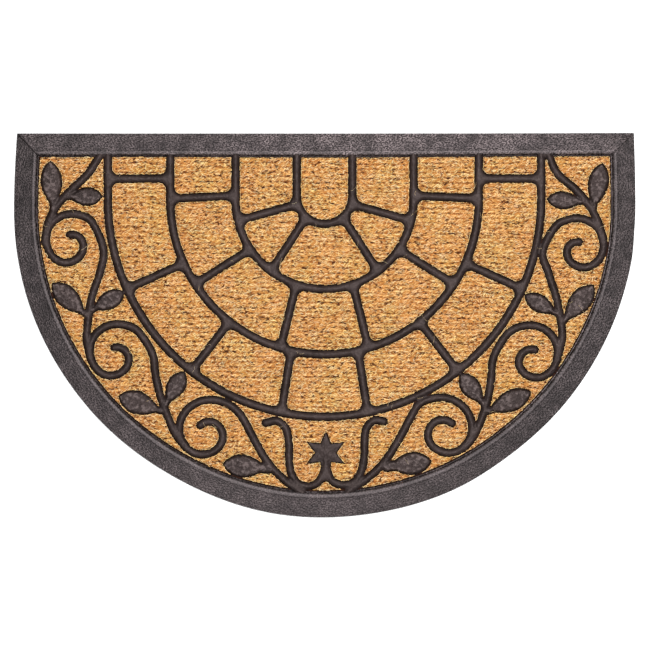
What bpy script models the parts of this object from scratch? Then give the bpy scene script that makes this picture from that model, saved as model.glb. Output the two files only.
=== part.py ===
"""Half-round doormat: one woven coir panel held in one rubber moulding.

The rubber is a thin base sheet, a bevelled border with a raised inner lip, and a raised tracery
over the coir: a fan of paving stones, and a vine of scrolls and leaves around a star.
The coir is one panel, with grooves pressed where the tracery lies.
Metres, +Z up: X runs along the straight edge, Y points to it, and Z = 0 is the underside.
In the tables, "across" is the distance from the centreline and "down" from the straight edge.
"""

import math

import bmesh
import bpy
import numpy as np
from mathutils import Vector
from mathutils.geometry import delaunay_2d_cdt

# Outline of the mat
MAT_WIDTH = 0.750
MAT_DEPTH = 0.463
ROUND_RADIUS = MAT_WIDTH / 2
ROUND_DOWN = MAT_DEPTH - ROUND_RADIUS
CORNER_ACROSS = 0.372
ROUND_STEPS = 64

# Border section: inset from the outer edge, and height
BORDER_SECTION = (
    # inset, height
    (0.0000, 0.0000),
    (0.0000, 0.0022),
    (0.0012, 0.0032),
    (0.0215, 0.0078),
    (0.0232, 0.0092),
    (0.0255, 0.0095),
    (0.0272, 0.0086),
    (0.0280, 0.0022),
)
STRAIGHT_SHARE = 0.90
BOTTOM_EXTRA = 0.06
COIR_INSET = 0.0290
PAD_INSET = 0.0300
RIB_END_INSET = 0.0275

# Heights of the tracery and the coir
CLEAR = 0.0004
GROOVE_FLOOR = 0.0042
RIB_UNDERSIDE = GROOVE_FLOOR + CLEAR
RIB_EDGE = 0.0074
RIB_CROWN = 0.0090
LEAF_CROWN = 0.0094
COIR_UNDERSIDE = BORDER_SECTION[-1][1] + CLEAR
PAD_EDGE = 0.0076
PAD_CROWN = 0.0092
PILLOW_RIM = 0.0075
PILLOW_SPACING = 0.024
SIDE_CLEAR = 0.0006

# Fan of paving stones: round courses with straight legs up to the border
FAN_RIB = 0.0090
FAN_WEB = 0.0065
JOINT_SETBACK = 0.0064
FAN_DOWN = 0.0795
COURSES = {
    # name: (radius, how far down its centre lies)
    "first": (0.2610, FAN_DOWN),
    "second": (0.1858, FAN_DOWN),
    "third": (0.1072, FAN_DOWN),
    "arch": (0.0335, 0.0746),
}
RADIAL_JOINTS = (
    # inner course, outer course, turn from straight down at the inner end and at the outer end
    ("second", "first", 12.2, 11.2),
    ("second", "first", 38.0, 37.9),
    ("second", "first", 65.8, 65.8),
    ("third", "second", 18.2, 16.1),
    ("third", "second", 56.4, 57.0),
    ("arch", "third", 40.9, 37.0),
    ("arch", "third", 73.0, 76.6),
)
LEVEL_JOINTS = (
    # inner course, outer course, down at the inner end and at the outer end
    ("second", "first", 0.0536, 0.0536),
    ("third", "second", 0.0742, 0.0776),
)

# Vine: scrolls that run on into stems, the same on both sides but for small shifts
VINE_RIB = 0.0086
VINE_WEB = 0.0022
SCROLLS = (
    # side, across, down, quarter turns from upright to the tip, radius at each quarter turn
    (-1, 0.3109, 0.1316, 0.20, (0.0092, 0.0197, 0.0236, 0.0260, 0.0356, 0.0449)),
    (-1, 0.2565, 0.2681, 0.20, (0.0097, 0.0211, 0.0229, 0.0254, 0.0386, 0.0492)),
    (-1, 0.1454, 0.3611, -0.25, (0.0139, 0.0233, 0.0248, 0.0290, 0.0403, 0.0543)),
    (1, 0.3099, 0.1400, 0.20, (0.0091, 0.0181, 0.0205, 0.0257, 0.0380, 0.0470)),
    (1, 0.2543, 0.2729, 0.05, (0.0130, 0.0205, 0.0211, 0.0254, 0.0419, 0.0507)),
    (1, 0.1481, 0.3599, -0.28, (0.0151, 0.0242, 0.0249, 0.0290, 0.0423, 0.0576)),
)
SCROLL_END = 4.5
STEMS = (
    # after each scroll of the same row, the stem's way on: across and down
    ((0.2662, 0.1401), (0.2710, 0.1667), (0.2807, 0.1956), (0.2855, 0.2246), (0.2865, 0.2464),
     (0.2825, 0.2681)),
    ((0.2076, 0.2657), (0.2046, 0.2874), (0.1985, 0.3152), (0.1889, 0.3418), (0.1780, 0.3635),
     (0.1671, 0.3768)),
    ((0.1007, 0.3394), (0.0826, 0.3720), (0.0657, 0.3985), (0.0464, 0.4180), (0.0340, 0.4270),
     (0.0262, 0.4315)),
    ((0.2628, 0.1425), (0.2700, 0.1679), (0.2797, 0.1969), (0.2851, 0.2246), (0.2863, 0.2452),
     (0.2805, 0.2700)),
    ((0.2042, 0.2693), (0.2012, 0.2950), (0.1976, 0.3164), (0.1891, 0.3430), (0.1783, 0.3659),
     (0.1686, 0.3768)),
    ((0.1016, 0.3418), (0.0840, 0.3740), (0.0683, 0.3985), (0.0490, 0.4167), (0.0360, 0.4255),
     (0.0280, 0.4310)),
)
FIRST_STEMS = (
    # side, then the way from the border to the first scroll: across and down
    (-1, (0.2686, 0.0255), (0.2855, 0.0477), (0.3072, 0.0688), (0.3229, 0.0870),
     (0.3326, 0.1063), (0.3368, 0.1300)),
    (1, (0.2694, 0.0255), (0.2809, 0.0471), (0.3014, 0.0652), (0.3183, 0.0845),
     (0.3292, 0.1051), (0.3353, 0.1280)),
)
LEAVES = (
    # side, across and down at the base, across and down at the tip, width
    (-1, 0.3278, 0.0894, 0.3314, 0.0326, 0.0260),
    (-1, 0.3097, 0.0755, 0.2680, 0.0755, 0.0215),
    (-1, 0.2879, 0.2174, 0.3278, 0.1799, 0.0245),
    (-1, 0.2795, 0.2113, 0.2456, 0.1896, 0.0200),
    (-1, 0.1973, 0.3339, 0.2487, 0.3164, 0.0275),
    (-1, 0.1913, 0.3249, 0.1708, 0.2898, 0.0205),
    (-1, 0.0681, 0.4034, 0.1230, 0.3985, 0.0272),
    (1, 0.3232, 0.0894, 0.3340, 0.0356, 0.0254),
    (1, 0.3123, 0.0809, 0.2680, 0.0783, 0.0199),
    (1, 0.2863, 0.2222, 0.3226, 0.1799, 0.0250),
    (1, 0.2797, 0.2162, 0.2415, 0.1940, 0.0200),
    (1, 0.1964, 0.3345, 0.2477, 0.3104, 0.0245),
    (1, 0.1915, 0.3249, 0.1638, 0.2886, 0.0220),
    (1, 0.0756, 0.4010, 0.1287, 0.3943, 0.0260),
)
LEAF_WIDEST = 0.58
LEAF_RISE = 1.15
LEAF_NECK = 0.0066
LEAF_RIDGE_SHARES = (0.30, 0.50, 0.68, 0.84)
LEAF_CROWN_REACH = 0.014

# Lyre hooks at the bottom, and the star between them
HOOKS = (
    # side, then the way from the tip under the fan down and round to the star's stalk
    (-1, (0.0720, 0.3475), (0.0565, 0.3480), (0.0465, 0.3555), (0.0425, 0.3710), (0.0422, 0.3900),
     (0.0400, 0.4090), (0.0310, 0.4215), (0.0175, 0.4240), (0.0065, 0.4180), (0.0000, 0.4060)),
    (1, (0.0730, 0.3455), (0.0600, 0.3460), (0.0495, 0.3550), (0.0470, 0.3710), (0.0465, 0.3900),
     (0.0435, 0.4080), (0.0345, 0.4200), (0.0200, 0.4225), (0.0085, 0.4170), (0.0030, 0.4060)),
)
STAR_ACROSS = 0.0023
STAR_DOWN = 0.3840
STAR_POINTS = 6
STAR_RADIUS = 0.0262
STAR_NOTCH = 0.0128
STAR_RIDGE_SHARE = 0.8
STALK_WIDTH = 0.0102
STALK_END_DOWN = 0.4140

# How finely the tracery is drawn
GRID_PITCH = 0.001
PATH_STEP = 0.004
RIDGE_STEP = 0.012
OUTLINE_TOLERANCE = 0.00028
SMALLEST_PAD = 0.000020
REACH = 0.014

# Colours and finish
RUBBER_COLOUR = (0.055, 0.049, 0.050, 1.0)
RUBBER_ROUGHNESS = 0.72
COIR_COLOUR = (0.62, 0.37, 0.14, 1.0)
COIR_ROUGHNESS = 0.95


def clear_scene():
    for thing in list(bpy.data.objects):
        bpy.data.objects.remove(thing, do_unlink=True)


def make_material(name, colour, roughness):
    material = bpy.data.materials.new(name)
    material.use_nodes = True
    shader = material.node_tree.nodes["Principled BSDF"]
    shader.inputs["Base Color"].default_value = colour
    shader.inputs["Roughness"].default_value = roughness
    shader.inputs["Metallic"].default_value = 0.0
    return material


def place(across, down, height):
    """World position of a point given from the centreline and the straight edge."""
    return Vector((across, MAT_DEPTH / 2 - down, height))


def add_object(name, mesh, material, collection):
    thing = bpy.data.objects.new(name, mesh)
    thing.data.materials.append(material)
    collection.objects.link(thing)
    return thing


# Outline and border

def side_across(down, inset):
    """Half the mat's width above the round part, where the sides lean in a little."""
    lean = (ROUND_RADIUS - CORNER_ACROSS) * np.clip(1 - down / ROUND_DOWN, 0, 1)
    return ROUND_RADIUS - lean - inset


def round_down(inset):
    """How far down the round part's centre lies: the border is a little wider at the bottom."""
    return ROUND_DOWN - inset * BOTTOM_EXTRA


def outline(inset):
    """Half-round loop at an inset from the outer edge, from the left corner round to the right."""
    corner_down = inset * STRAIGHT_SHARE
    corner = side_across(corner_down, inset)
    loop = [(-corner, corner_down)]
    for step in range(ROUND_STEPS + 1):
        turn = math.pi * step / ROUND_STEPS
        radius = ROUND_RADIUS - inset
        loop.append((-radius * math.cos(turn), round_down(inset) + radius * math.sin(turn)))
    loop.append((corner, corner_down))
    return loop


def border_tray(material, collection):
    """Base sheet and border in one: rings along the border section, closed above and below."""
    form = bmesh.new()
    rings = []
    for inset, height in BORDER_SECTION:
        rings.append([form.verts.new(place(across, down, height)) for across, down in outline(inset)])
    count = len(rings[0])
    for lower, upper in zip(rings, rings[1:]):
        for here in range(count):
            after = (here + 1) % count
            form.faces.new((lower[here], lower[after], upper[after], upper[here]))
    form.faces.new(list(reversed(rings[0])))
    form.faces.new(rings[-1])
    mesh = bpy.data.meshes.new("rubber_moulding")
    form.to_mesh(mesh)
    form.free()
    return add_object("rubber_moulding", mesh, material, collection)


# Paths of the tracery's ribs

def smooth_path(points, step):
    """Centripetal spline through the points, read at about even steps."""
    points = np.array(points, dtype=float)
    padded = np.vstack((2 * points[0] - points[1], points, 2 * points[-1] - points[-2]))
    path = [points[0]]
    for start in range(1, len(padded) - 2):
        a, b, c, d = padded[start - 1:start + 3]
        t0 = 0.0
        t1 = t0 + math.sqrt(np.linalg.norm(b - a))
        t2 = t1 + math.sqrt(np.linalg.norm(c - b))
        t3 = t2 + math.sqrt(np.linalg.norm(d - c))
        pieces = max(1, round(np.linalg.norm(c - b) / step))
        for piece in range(1, pieces + 1):
            t = t1 + (t2 - t1) * piece / pieces
            ab = a * (t1 - t) / (t1 - t0) + b * (t - t0) / (t1 - t0)
            bc = b * (t2 - t) / (t2 - t1) + c * (t - t1) / (t2 - t1)
            cd = c * (t3 - t) / (t3 - t2) + d * (t - t2) / (t3 - t2)
            abc = ab * (t2 - t) / (t2 - t0) + bc * (t - t0) / (t2 - t0)
            bcd = bc * (t3 - t) / (t3 - t1) + cd * (t - t1) / (t3 - t1)
            path.append(abc * (t2 - t) / (t2 - t1) + bcd * (t - t1) / (t2 - t1))
    return np.array(path)


def course_point(name, turn):
    """Point on a course's round part, at a turn in degrees from straight down."""
    radius, centre_down = COURSES[name]
    turn = math.radians(turn)
    return radius * math.sin(turn), centre_down + radius * math.cos(turn)


def course_path(name):
    """Up the left leg's line to the border and down again: a U open to the straight edge."""
    radius, centre_down = COURSES[name]
    border_down = RIB_END_INSET * STRAIGHT_SHARE
    steps = max(12, round(math.pi * radius / PATH_STEP))
    path = [(-radius, border_down)]
    path += [course_point(name, turn) for turn in np.linspace(-90, 90, steps)]
    path.append((radius, border_down))
    return np.array(path)


def shortened(joint, setback):
    """A joint drawn short of its courses, so that its web rounds only the near side."""
    start, end = joint
    way = (end - start) / np.linalg.norm(end - start)
    return np.array((start + way * setback, end - way * setback))


def joint_paths():
    """Joints between the courses, on both sides."""
    one_side = []
    for inner, outer, inner_turn, outer_turn in RADIAL_JOINTS:
        one_side.append((course_point(inner, inner_turn), course_point(outer, outer_turn)))
    for inner, outer, inner_down, outer_down in LEVEL_JOINTS:
        one_side.append(((COURSES[inner][0], inner_down), (COURSES[outer][0], outer_down)))
    return [np.array(joint) * (side, 1) for joint in one_side for side in (-1, 1)]


def radius_at(radii, quarter):
    """Scroll radius between its quarter turns, on a smooth curve through them."""
    radii = np.array(radii)
    whole = int(np.clip(math.floor(quarter), 0, len(radii) - 2))
    part = quarter - whole
    slopes = np.gradient(radii)
    here, there = radii[whole], radii[whole + 1]
    slope_here, slope_there = slopes[whole], slopes[whole + 1]
    cubic = 2 * (here - there) + slope_here + slope_there
    square = 3 * (there - here) - 2 * slope_here - slope_there
    return here + part * (slope_here + part * (square + part * cubic))


def scroll_path(scroll, stem):
    """A scroll from its tip outwards, running on into its stem."""
    side, across, down, tip_quarter, radii = scroll
    points = []
    for quarter in np.linspace(tip_quarter, SCROLL_END, 4 * len(radii)):
        radius = radius_at(radii, quarter)
        turn = quarter * math.pi / 2
        points.append((across - radius * math.sin(turn), down - radius * math.cos(turn)))
    path = smooth_path(points + list(stem), PATH_STEP)
    return path * (side, 1)


def vine_paths():
    paths = [scroll_path(scroll, stem) for scroll, stem in zip(SCROLLS, STEMS)]
    for side, *points in FIRST_STEMS:
        paths.append(smooth_path(points, PATH_STEP) * (side, 1))
    for side, *points in HOOKS:
        paths.append(smooth_path(points, PATH_STEP) * (side, 1))
    return paths


def stalk_path():
    return np.array(((STAR_ACROSS, STAR_DOWN), (STAR_ACROSS, STALK_END_DOWN)))


# The tracery as a field: how far inside the rubber each point of a fine grid lies

GRID_ACROSS = np.arange(-0.362, 0.3625, GRID_PITCH)
GRID_DOWN = np.arange(0.012, 0.4535, GRID_PITCH)
ACROSS, DOWN = np.meshgrid(GRID_ACROSS, GRID_DOWN)


def nearby(points):
    """Rows and columns of the grid within reach of the points."""
    low = np.min(points, axis=0) - REACH
    high = np.max(points, axis=0) + REACH
    columns = slice(*np.searchsorted(GRID_ACROSS, (low[0], high[0])))
    rows = slice(*np.searchsorted(GRID_DOWN, (low[1], high[1])))
    return rows, columns


def path_field(path, width):
    """Half the width less the distance to the path."""
    field = np.full(ACROSS.shape, -REACH)
    for start, end in zip(path, path[1:]):
        window = nearby((start, end))
        along = end - start
        share_a = (ACROSS[window] - start[0]) * along[0]
        share_b = (DOWN[window] - start[1]) * along[1]
        share = np.clip((share_a + share_b) / np.dot(along, along), 0, 1)
        gap = np.hypot(ACROSS[window] - start[0] - share * along[0],
                       DOWN[window] - start[1] - share * along[1])
        field[window] = np.maximum(field[window], width / 2 - gap)
    return field


def leaf_axis(leaf):
    """A leaf's base and tip."""
    side, base_across, base_down, tip_across, tip_down, width = leaf
    return np.array((side * base_across, base_down)), np.array((side * tip_across, tip_down))


def leaf_field(leaf):
    """A leaf round its axis, narrow at the base and blunt at the tip."""
    base, tip = leaf_axis(leaf)
    width = leaf[-1]
    field = np.full(ACROSS.shape, -REACH)
    window = nearby((base, tip))
    axis = tip - base
    along = ((ACROSS[window] - base[0]) * axis[0] + (DOWN[window] - base[1]) * axis[1])
    share = np.clip(along / np.dot(axis, axis), 0, 1)
    gap = np.hypot(ACROSS[window] - base[0] - share * axis[0],
                   DOWN[window] - base[1] - share * axis[1])
    rise, fall = LEAF_RISE, LEAF_RISE * (1 - LEAF_WIDEST) / LEAF_WIDEST
    fullest = LEAF_WIDEST ** rise * (1 - LEAF_WIDEST) ** fall
    half = width / 2 * share ** rise * (1 - share) ** fall / fullest
    neck = np.where(share < LEAF_WIDEST, LEAF_NECK / 2, 0)
    field[window] = np.maximum(half, neck) - gap
    return field


def star_field():
    """A straight-sided star, folded to half of one point: one side from its tip to a notch."""
    x = ACROSS - STAR_ACROSS
    y = STAR_DOWN - DOWN
    sector = 2 * math.pi / STAR_POINTS
    turn = np.arctan2(x, y)
    turn = np.abs(turn - sector * np.round(turn / sector))
    radius = np.hypot(x, y)
    along, out = radius * np.cos(turn), radius * np.sin(turn)
    side = np.array((STAR_NOTCH * math.cos(sector / 2) - STAR_RADIUS, STAR_NOTCH * math.sin(sector / 2)))
    side /= np.linalg.norm(side)
    return np.maximum((STAR_RADIUS - along) * side[1] + out * side[0], -REACH)


def round_union(first, second, radius):
    """Join two fields with a round fillet where their edges meet."""
    either = np.maximum(first, second)
    corner = np.hypot(radius + first, radius + second) - radius
    by_corner = (either < 0) & (np.minimum(first, second) > -radius)
    return np.where(by_corner, np.maximum(either, corner), either)


def tracery_field():
    fan = path_field(course_path("first"), FAN_RIB)
    for name in ("second", "third", "arch"):
        fan = np.maximum(fan, path_field(course_path(name), FAN_RIB))
    joints = np.full(ACROSS.shape, -REACH)
    for joint in joint_paths():
        joints = np.maximum(joints, path_field(shortened(joint, JOINT_SETBACK), FAN_RIB))
    tracery = round_union(fan, joints, FAN_WEB)
    for path in vine_paths():
        tracery = round_union(tracery, path_field(path, VINE_RIB), VINE_WEB)
    for leaf in LEAVES:
        tracery = round_union(tracery, leaf_field(leaf), VINE_WEB)
    tracery = np.maximum(tracery, star_field())
    return round_union(tracery, path_field(stalk_path(), STALK_WIDTH), VINE_WEB)


def coir_field(inset):
    """How far inside the coir's half-round outline each grid point lies."""
    centre_down = round_down(inset)
    round_gap = ROUND_RADIUS - inset - np.hypot(ACROSS, DOWN - centre_down)
    side_gap = side_across(DOWN, inset) - np.abs(ACROSS)
    return np.minimum(np.where(DOWN > centre_down, round_gap, side_gap), DOWN - inset * STRAIGHT_SHARE)


# Outlines read from a field

def contour_loops(field):
    """Closed outlines of the area where the field is above zero, by marching squares."""
    above = field > 0
    above_count = above[:-1, :-1] * 1 + above[:-1, 1:] + above[1:, 1:] + above[1:, :-1]
    onward = {}
    for row, column in np.argwhere((above_count > 0) & (above_count < 4)):
        corners = ((row, column), (row, column + 1), (row + 1, column + 1), (row + 1, column))
        inside = [bool(above[corner]) for corner in corners]
        for last in range(4):
            after = (last + 1) % 4
            if not inside[last] or inside[after]:
                continue
            first = last
            while inside[(first + 3) % 4]:
                first = (first + 3) % 4
            before = (first + 3) % 4
            leaving = frozenset((corners[last], corners[after]))
            onward[leaving] = frozenset((corners[before], corners[first]))
    loops = []
    while onward:
        first, edge = onward.popitem()
        chain = [first]
        while edge != first:
            chain.append(edge)
            edge = onward.pop(edge)
        loops.append(np.array([edge_point(field, link) for link in chain]))
    return loops


def edge_point(field, edge):
    """Where the field crosses zero on a grid edge."""
    one, other = sorted(edge)
    share = field[one] / (field[one] - field[other])
    row = one[0] + (other[0] - one[0]) * share
    column = one[1] + (other[1] - one[1]) * share
    return GRID_ACROSS[0] + column * GRID_PITCH, GRID_DOWN[0] + row * GRID_PITCH


def thin_out(points, tolerance):
    """Keep only the points that an open outline needs to stay within the tolerance."""
    keep = np.zeros(len(points), dtype=bool)
    keep[[0, -1]] = True
    spans = [(0, len(points) - 1)]
    while spans:
        start, end = spans.pop()
        if end - start < 2:
            continue
        chord = points[end] - points[start]
        between = points[start + 1:end] - points[start]
        length = max(np.linalg.norm(chord), 1e-12)
        gaps = np.abs(between[:, 0] * chord[1] - between[:, 1] * chord[0]) / length
        worst = int(np.argmax(gaps))
        if gaps[worst] > tolerance:
            middle = start + 1 + worst
            keep[middle] = True
            spans += [(start, middle), (middle, end)]
    return points[keep]


def thin_loop(loop):
    """Thin out a closed outline from its two farthest points."""
    far = int(np.argmax(np.hypot(*(loop - loop[0]).T)))
    first = thin_out(loop[:far + 1], OUTLINE_TOLERANCE)
    second = thin_out(np.vstack((loop[far:], loop[:1])), OUTLINE_TOLERANCE)
    return np.vstack((first[:-1], second[:-1]))


def loop_area(loop):
    after = np.roll(loop, -1, axis=0)
    return abs(np.sum(loop[:, 0] * after[:, 1] - loop[:, 1] * after[:, 0])) / 2


def outlines(field, smallest):
    loops = [loop for loop in contour_loops(field) if loop_area(loop) > smallest]
    return [thin_loop(loop) for loop in loops]


def inside_loops(points, loops):
    """Whether each point lies inside an odd number of the loops."""
    odd = np.zeros(len(points), dtype=bool)
    for loop in loops:
        for (x0, y0), (x1, y1) in zip(loop, np.roll(loop, -1, axis=0)):
            if y0 == y1:
                continue
            spans = (points[:, 1] >= min(y0, y1)) & (points[:, 1] < max(y0, y1))
            meets = x0 + (points[:, 1] - y0) * (x1 - x0) / (y1 - y0)
            odd ^= spans & (points[:, 0] < meets)
    return odd


def triangulate(loops, lines=()):
    """Triangles over the loops and lines: flat points, triangles and each point's first source."""
    points = []
    edges = []
    for chain, closed in [(loop, True) for loop in loops] + [(line, False) for line in lines]:
        start = len(points)
        points += [Vector(point) for point in chain]
        edges += [(start + here, start + here + 1) for here in range(len(chain) - 1)]
        if closed:
            edges.append((len(points) - 1, start))
    result = delaunay_2d_cdt(points, edges, [], 0, 1e-7)
    flat = np.array([tuple(point) for point in result[0]], dtype=float)
    sources = [min(found) if found else -1 for found in result[3]]
    return flat, [tuple(face) for face in result[2]], sources


def centres(flat, triangles):
    return np.array([flat[list(corners)].mean(axis=0) for corners in triangles])


def rounded(loops):
    """Outlines at the precision that meshes hold."""
    return [np.array([tuple(Vector(point)) for point in loop], dtype=float) for loop in loops]


def raise_sides(form, rim, top, floor):
    """Walls from the top's rim down to the same points on the floor."""
    for here, after in rim:
        form.faces.new((top[here], floor[here], floor[after], top[after]))


def rim_of(triangles):
    """Edges that bound an area of triangles, each in its triangle's own direction."""
    directed = {(corners[i], corners[(i + 1) % 3]) for corners in triangles for i in range(3)}
    return [edge for edge in directed if (edge[1], edge[0]) not in directed]


# The solids

def ridge_lines():
    """Lines along the crowns of the ribs, the leaves and the star."""
    lines = []
    for name in COURSES:
        path = course_path(name)
        stride = max(1, round(RIDGE_STEP / PATH_STEP))
        lines.append(np.vstack((path[:1], path[1:-1:stride], path[-1:])))
    lines += joint_paths()
    for path in vine_paths():
        stride = round(RIDGE_STEP / PATH_STEP)
        lines.append(np.vstack((path[:-1:stride], path[-1:])))
    for leaf in LEAVES:
        base, tip = leaf_axis(leaf)
        lines.append(np.array([base + (tip - base) * share for share in LEAF_RIDGE_SHARES]))
    centre = np.array((STAR_ACROSS, STAR_DOWN))
    for point in range(STAR_POINTS):
        turn = 2 * math.pi * point / STAR_POINTS
        reach = np.array((math.sin(turn), -math.cos(turn))) * STAR_RADIUS * STAR_RIDGE_SHARE
        lines.append(np.array((centre, centre + reach)))
    return lines


def crown_height(point):
    """Crown of a leaf near its middle, or else of a rib or the star."""
    for leaf in LEAVES:
        base, tip = leaf_axis(leaf)
        if math.dist(point, (base + tip) / 2) < LEAF_CROWN_REACH:
            return LEAF_CROWN
    return RIB_CROWN


def tracery_solid(loops, material, collection):
    """The raised tracery: crowned above, flat below, with upright sides."""
    loops = rounded(loops)
    outline_count = sum(len(loop) for loop in loops)
    flat, triangles, sources = triangulate(loops, ridge_lines())
    kept = inside_loops(centres(flat, triangles), loops)
    triangles = [corners for corners, inside in zip(triangles, kept) if inside]
    form = bmesh.new()
    top = {}
    for index in sorted({corner for corners in triangles for corner in corners}):
        on_outline = 0 <= sources[index] < outline_count
        height = RIB_EDGE if on_outline else crown_height(flat[index])
        top[index] = form.verts.new(place(*flat[index], height))
    for corners in triangles:
        form.faces.new([top[corner] for corner in reversed(corners)])
    rim = rim_of(triangles)
    floor = {here: form.verts.new(place(*flat[here], RIB_UNDERSIDE)) for here, after in rim}
    by_source = {sources[here]: floor[here] for here, after in rim}
    raise_sides(form, [(after, here) for here, after in rim], top, floor)
    under_flat, under, under_sources = triangulate(loops)
    kept = inside_loops(centres(under_flat, under), loops)
    for corners, inside in zip(under, kept):
        if inside:
            form.faces.new([by_source[under_sources[corner]] for corner in corners])
    return finish(form, "tracery", material, collection)


def coir_solid(pads, material, collection):
    """The coir panel: a flat sheet with a raised, slightly pillowed pad in each cell."""
    pads = rounded(pads)
    sheet = rounded([np.array(outline(COIR_INSET))])
    outline_count = len(sheet[0]) + sum(len(pad) for pad in pads)
    flat, triangles, sources = triangulate(sheet + pads, pillow_points())
    middles = centres(flat, triangles)
    in_pad = inside_loops(middles, pads)
    in_sheet = inside_loops(middles, sheet)
    form = bmesh.new()
    raised = [corners for corners, inside in zip(triangles, in_pad) if inside]
    pressed = [corners for corners, pad, inside in zip(triangles, in_pad, in_sheet) if inside and not pad]
    top = {}
    for index in sorted({corner for corners in raised for corner in corners}):
        height = PAD_EDGE if 0 <= sources[index] < outline_count else PAD_CROWN
        top[index] = form.verts.new(place(*flat[index], height))
    floor = {}
    for index in sorted({corner for corners in pressed for corner in corners}):
        floor[index] = form.verts.new(place(*flat[index], GROOVE_FLOOR))
    for corners in raised:
        form.faces.new([top[corner] for corner in reversed(corners)])
    for corners in pressed:
        form.faces.new([floor[corner] for corner in reversed(corners)])
    raise_sides(form, [(after, here) for here, after in rim_of(raised)], top, floor)
    edge = [(here, after) for here, after in rim_of(raised + pressed)]
    under = {here: form.verts.new(place(*flat[here], COIR_UNDERSIDE)) for here, after in edge}
    raise_sides(form, [(after, here) for here, after in edge], floor, under)
    onward = dict(edge)
    loop = [edge[0][0]]
    while onward[loop[-1]] != loop[0]:
        loop.append(onward[loop[-1]])
    form.faces.new([under[index] for index in loop])
    return finish(form, "coir_panel", material, collection)


def pillow_points():
    """Single points spread over the cells, well away from their edges."""
    pads = np.minimum(coir_field(PAD_INSET), -tracery_field() - SIDE_CLEAR)
    points = []
    row_spacing = PILLOW_SPACING * math.sqrt(3) / 2
    for row, down in enumerate(np.arange(GRID_DOWN[0], GRID_DOWN[-1], row_spacing)):
        shift = PILLOW_SPACING / 2 * (row % 2)
        for across in np.arange(GRID_ACROSS[0] + shift, GRID_ACROSS[-1], PILLOW_SPACING):
            cell = (int((down - GRID_DOWN[0]) / GRID_PITCH), int((across - GRID_ACROSS[0]) / GRID_PITCH))
            if pads[cell] > PILLOW_RIM:
                points.append([(across, down)])
    return points


def finish(form, name, material, collection):
    bmesh.ops.recalc_face_normals(form, faces=form.faces[:])
    mesh = bpy.data.meshes.new(name)
    form.to_mesh(mesh)
    form.free()
    return add_object(name, mesh, material, collection)


def unite(body, tool):
    """Join a tool into a body, and drop the tool."""
    joining = body.modifiers.new("join", "BOOLEAN")
    joining.operation = "UNION"
    joining.solver = "EXACT"
    joining.object = tool
    bpy.context.view_layer.update()
    evaluated = body.evaluated_get(bpy.context.evaluated_depsgraph_get())
    joined = bpy.data.meshes.new_from_object(evaluated)
    body.modifiers.clear()
    body.data = joined
    bpy.data.objects.remove(tool, do_unlink=True)


def main():
    clear_scene()
    collection = bpy.data.collections.new("coir_doormat")
    bpy.context.scene.collection.children.link(collection)
    rubber = make_material("rubber", RUBBER_COLOUR, RUBBER_ROUGHNESS)
    coir = make_material("coir", COIR_COLOUR, COIR_ROUGHNESS)

    field = tracery_field()
    tracery = tracery_solid(outlines(field, SMALLEST_PAD), rubber, collection)
    moulding = border_tray(rubber, collection)
    unite(moulding, tracery)
    pads = np.minimum(coir_field(PAD_INSET), -field - SIDE_CLEAR)
    coir_solid(outlines(pads, SMALLEST_PAD), coir, collection)


main()
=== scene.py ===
"""Looks of the half-round doormat: a pebbled rubber moulding, and woven coir under its tracery.

Metres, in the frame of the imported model: X along the straight edge, Y towards it, Z up.
In the tables, "across" is the distance from the centreline and "down" from the straight edge.
"""

import math

import bpy
import numpy as np
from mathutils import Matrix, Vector
from mathutils.geometry import delaunay_2d_cdt


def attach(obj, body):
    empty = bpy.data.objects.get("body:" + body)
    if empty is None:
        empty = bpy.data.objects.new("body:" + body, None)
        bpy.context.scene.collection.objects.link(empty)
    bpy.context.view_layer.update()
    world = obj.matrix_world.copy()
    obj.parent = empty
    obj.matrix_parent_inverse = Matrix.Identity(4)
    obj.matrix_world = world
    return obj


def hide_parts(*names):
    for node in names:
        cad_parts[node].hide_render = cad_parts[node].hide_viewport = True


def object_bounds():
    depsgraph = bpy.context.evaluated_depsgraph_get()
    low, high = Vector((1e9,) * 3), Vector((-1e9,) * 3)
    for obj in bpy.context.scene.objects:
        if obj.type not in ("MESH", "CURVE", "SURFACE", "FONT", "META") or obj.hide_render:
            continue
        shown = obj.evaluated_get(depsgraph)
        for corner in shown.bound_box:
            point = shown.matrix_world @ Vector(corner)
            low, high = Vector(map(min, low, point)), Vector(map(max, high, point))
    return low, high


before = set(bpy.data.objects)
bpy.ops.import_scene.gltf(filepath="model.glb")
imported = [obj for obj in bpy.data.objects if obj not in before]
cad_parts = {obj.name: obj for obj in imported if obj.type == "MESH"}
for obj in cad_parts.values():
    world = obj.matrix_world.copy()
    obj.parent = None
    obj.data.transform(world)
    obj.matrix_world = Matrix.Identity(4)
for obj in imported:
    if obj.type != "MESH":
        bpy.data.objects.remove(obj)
CAD_LOW, CAD_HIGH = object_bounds()

# Outline of the mat
MAT_DEPTH = CAD_HIGH.y - CAD_LOW.y
ROUND_RADIUS = (CAD_HIGH.x - CAD_LOW.x) / 2
ROUND_DOWN = MAT_DEPTH - ROUND_RADIUS
CORNER_LEANS = (0.0037, 0.0019)
LEAN_POWER = 1.7
ROUND_STEPS = 480
SIDE_STEPS = 30
STRAIGHT_STEPS = 250
CORNERS = (0, SIDE_STEPS * 2 + ROUND_STEPS + 2)

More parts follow.
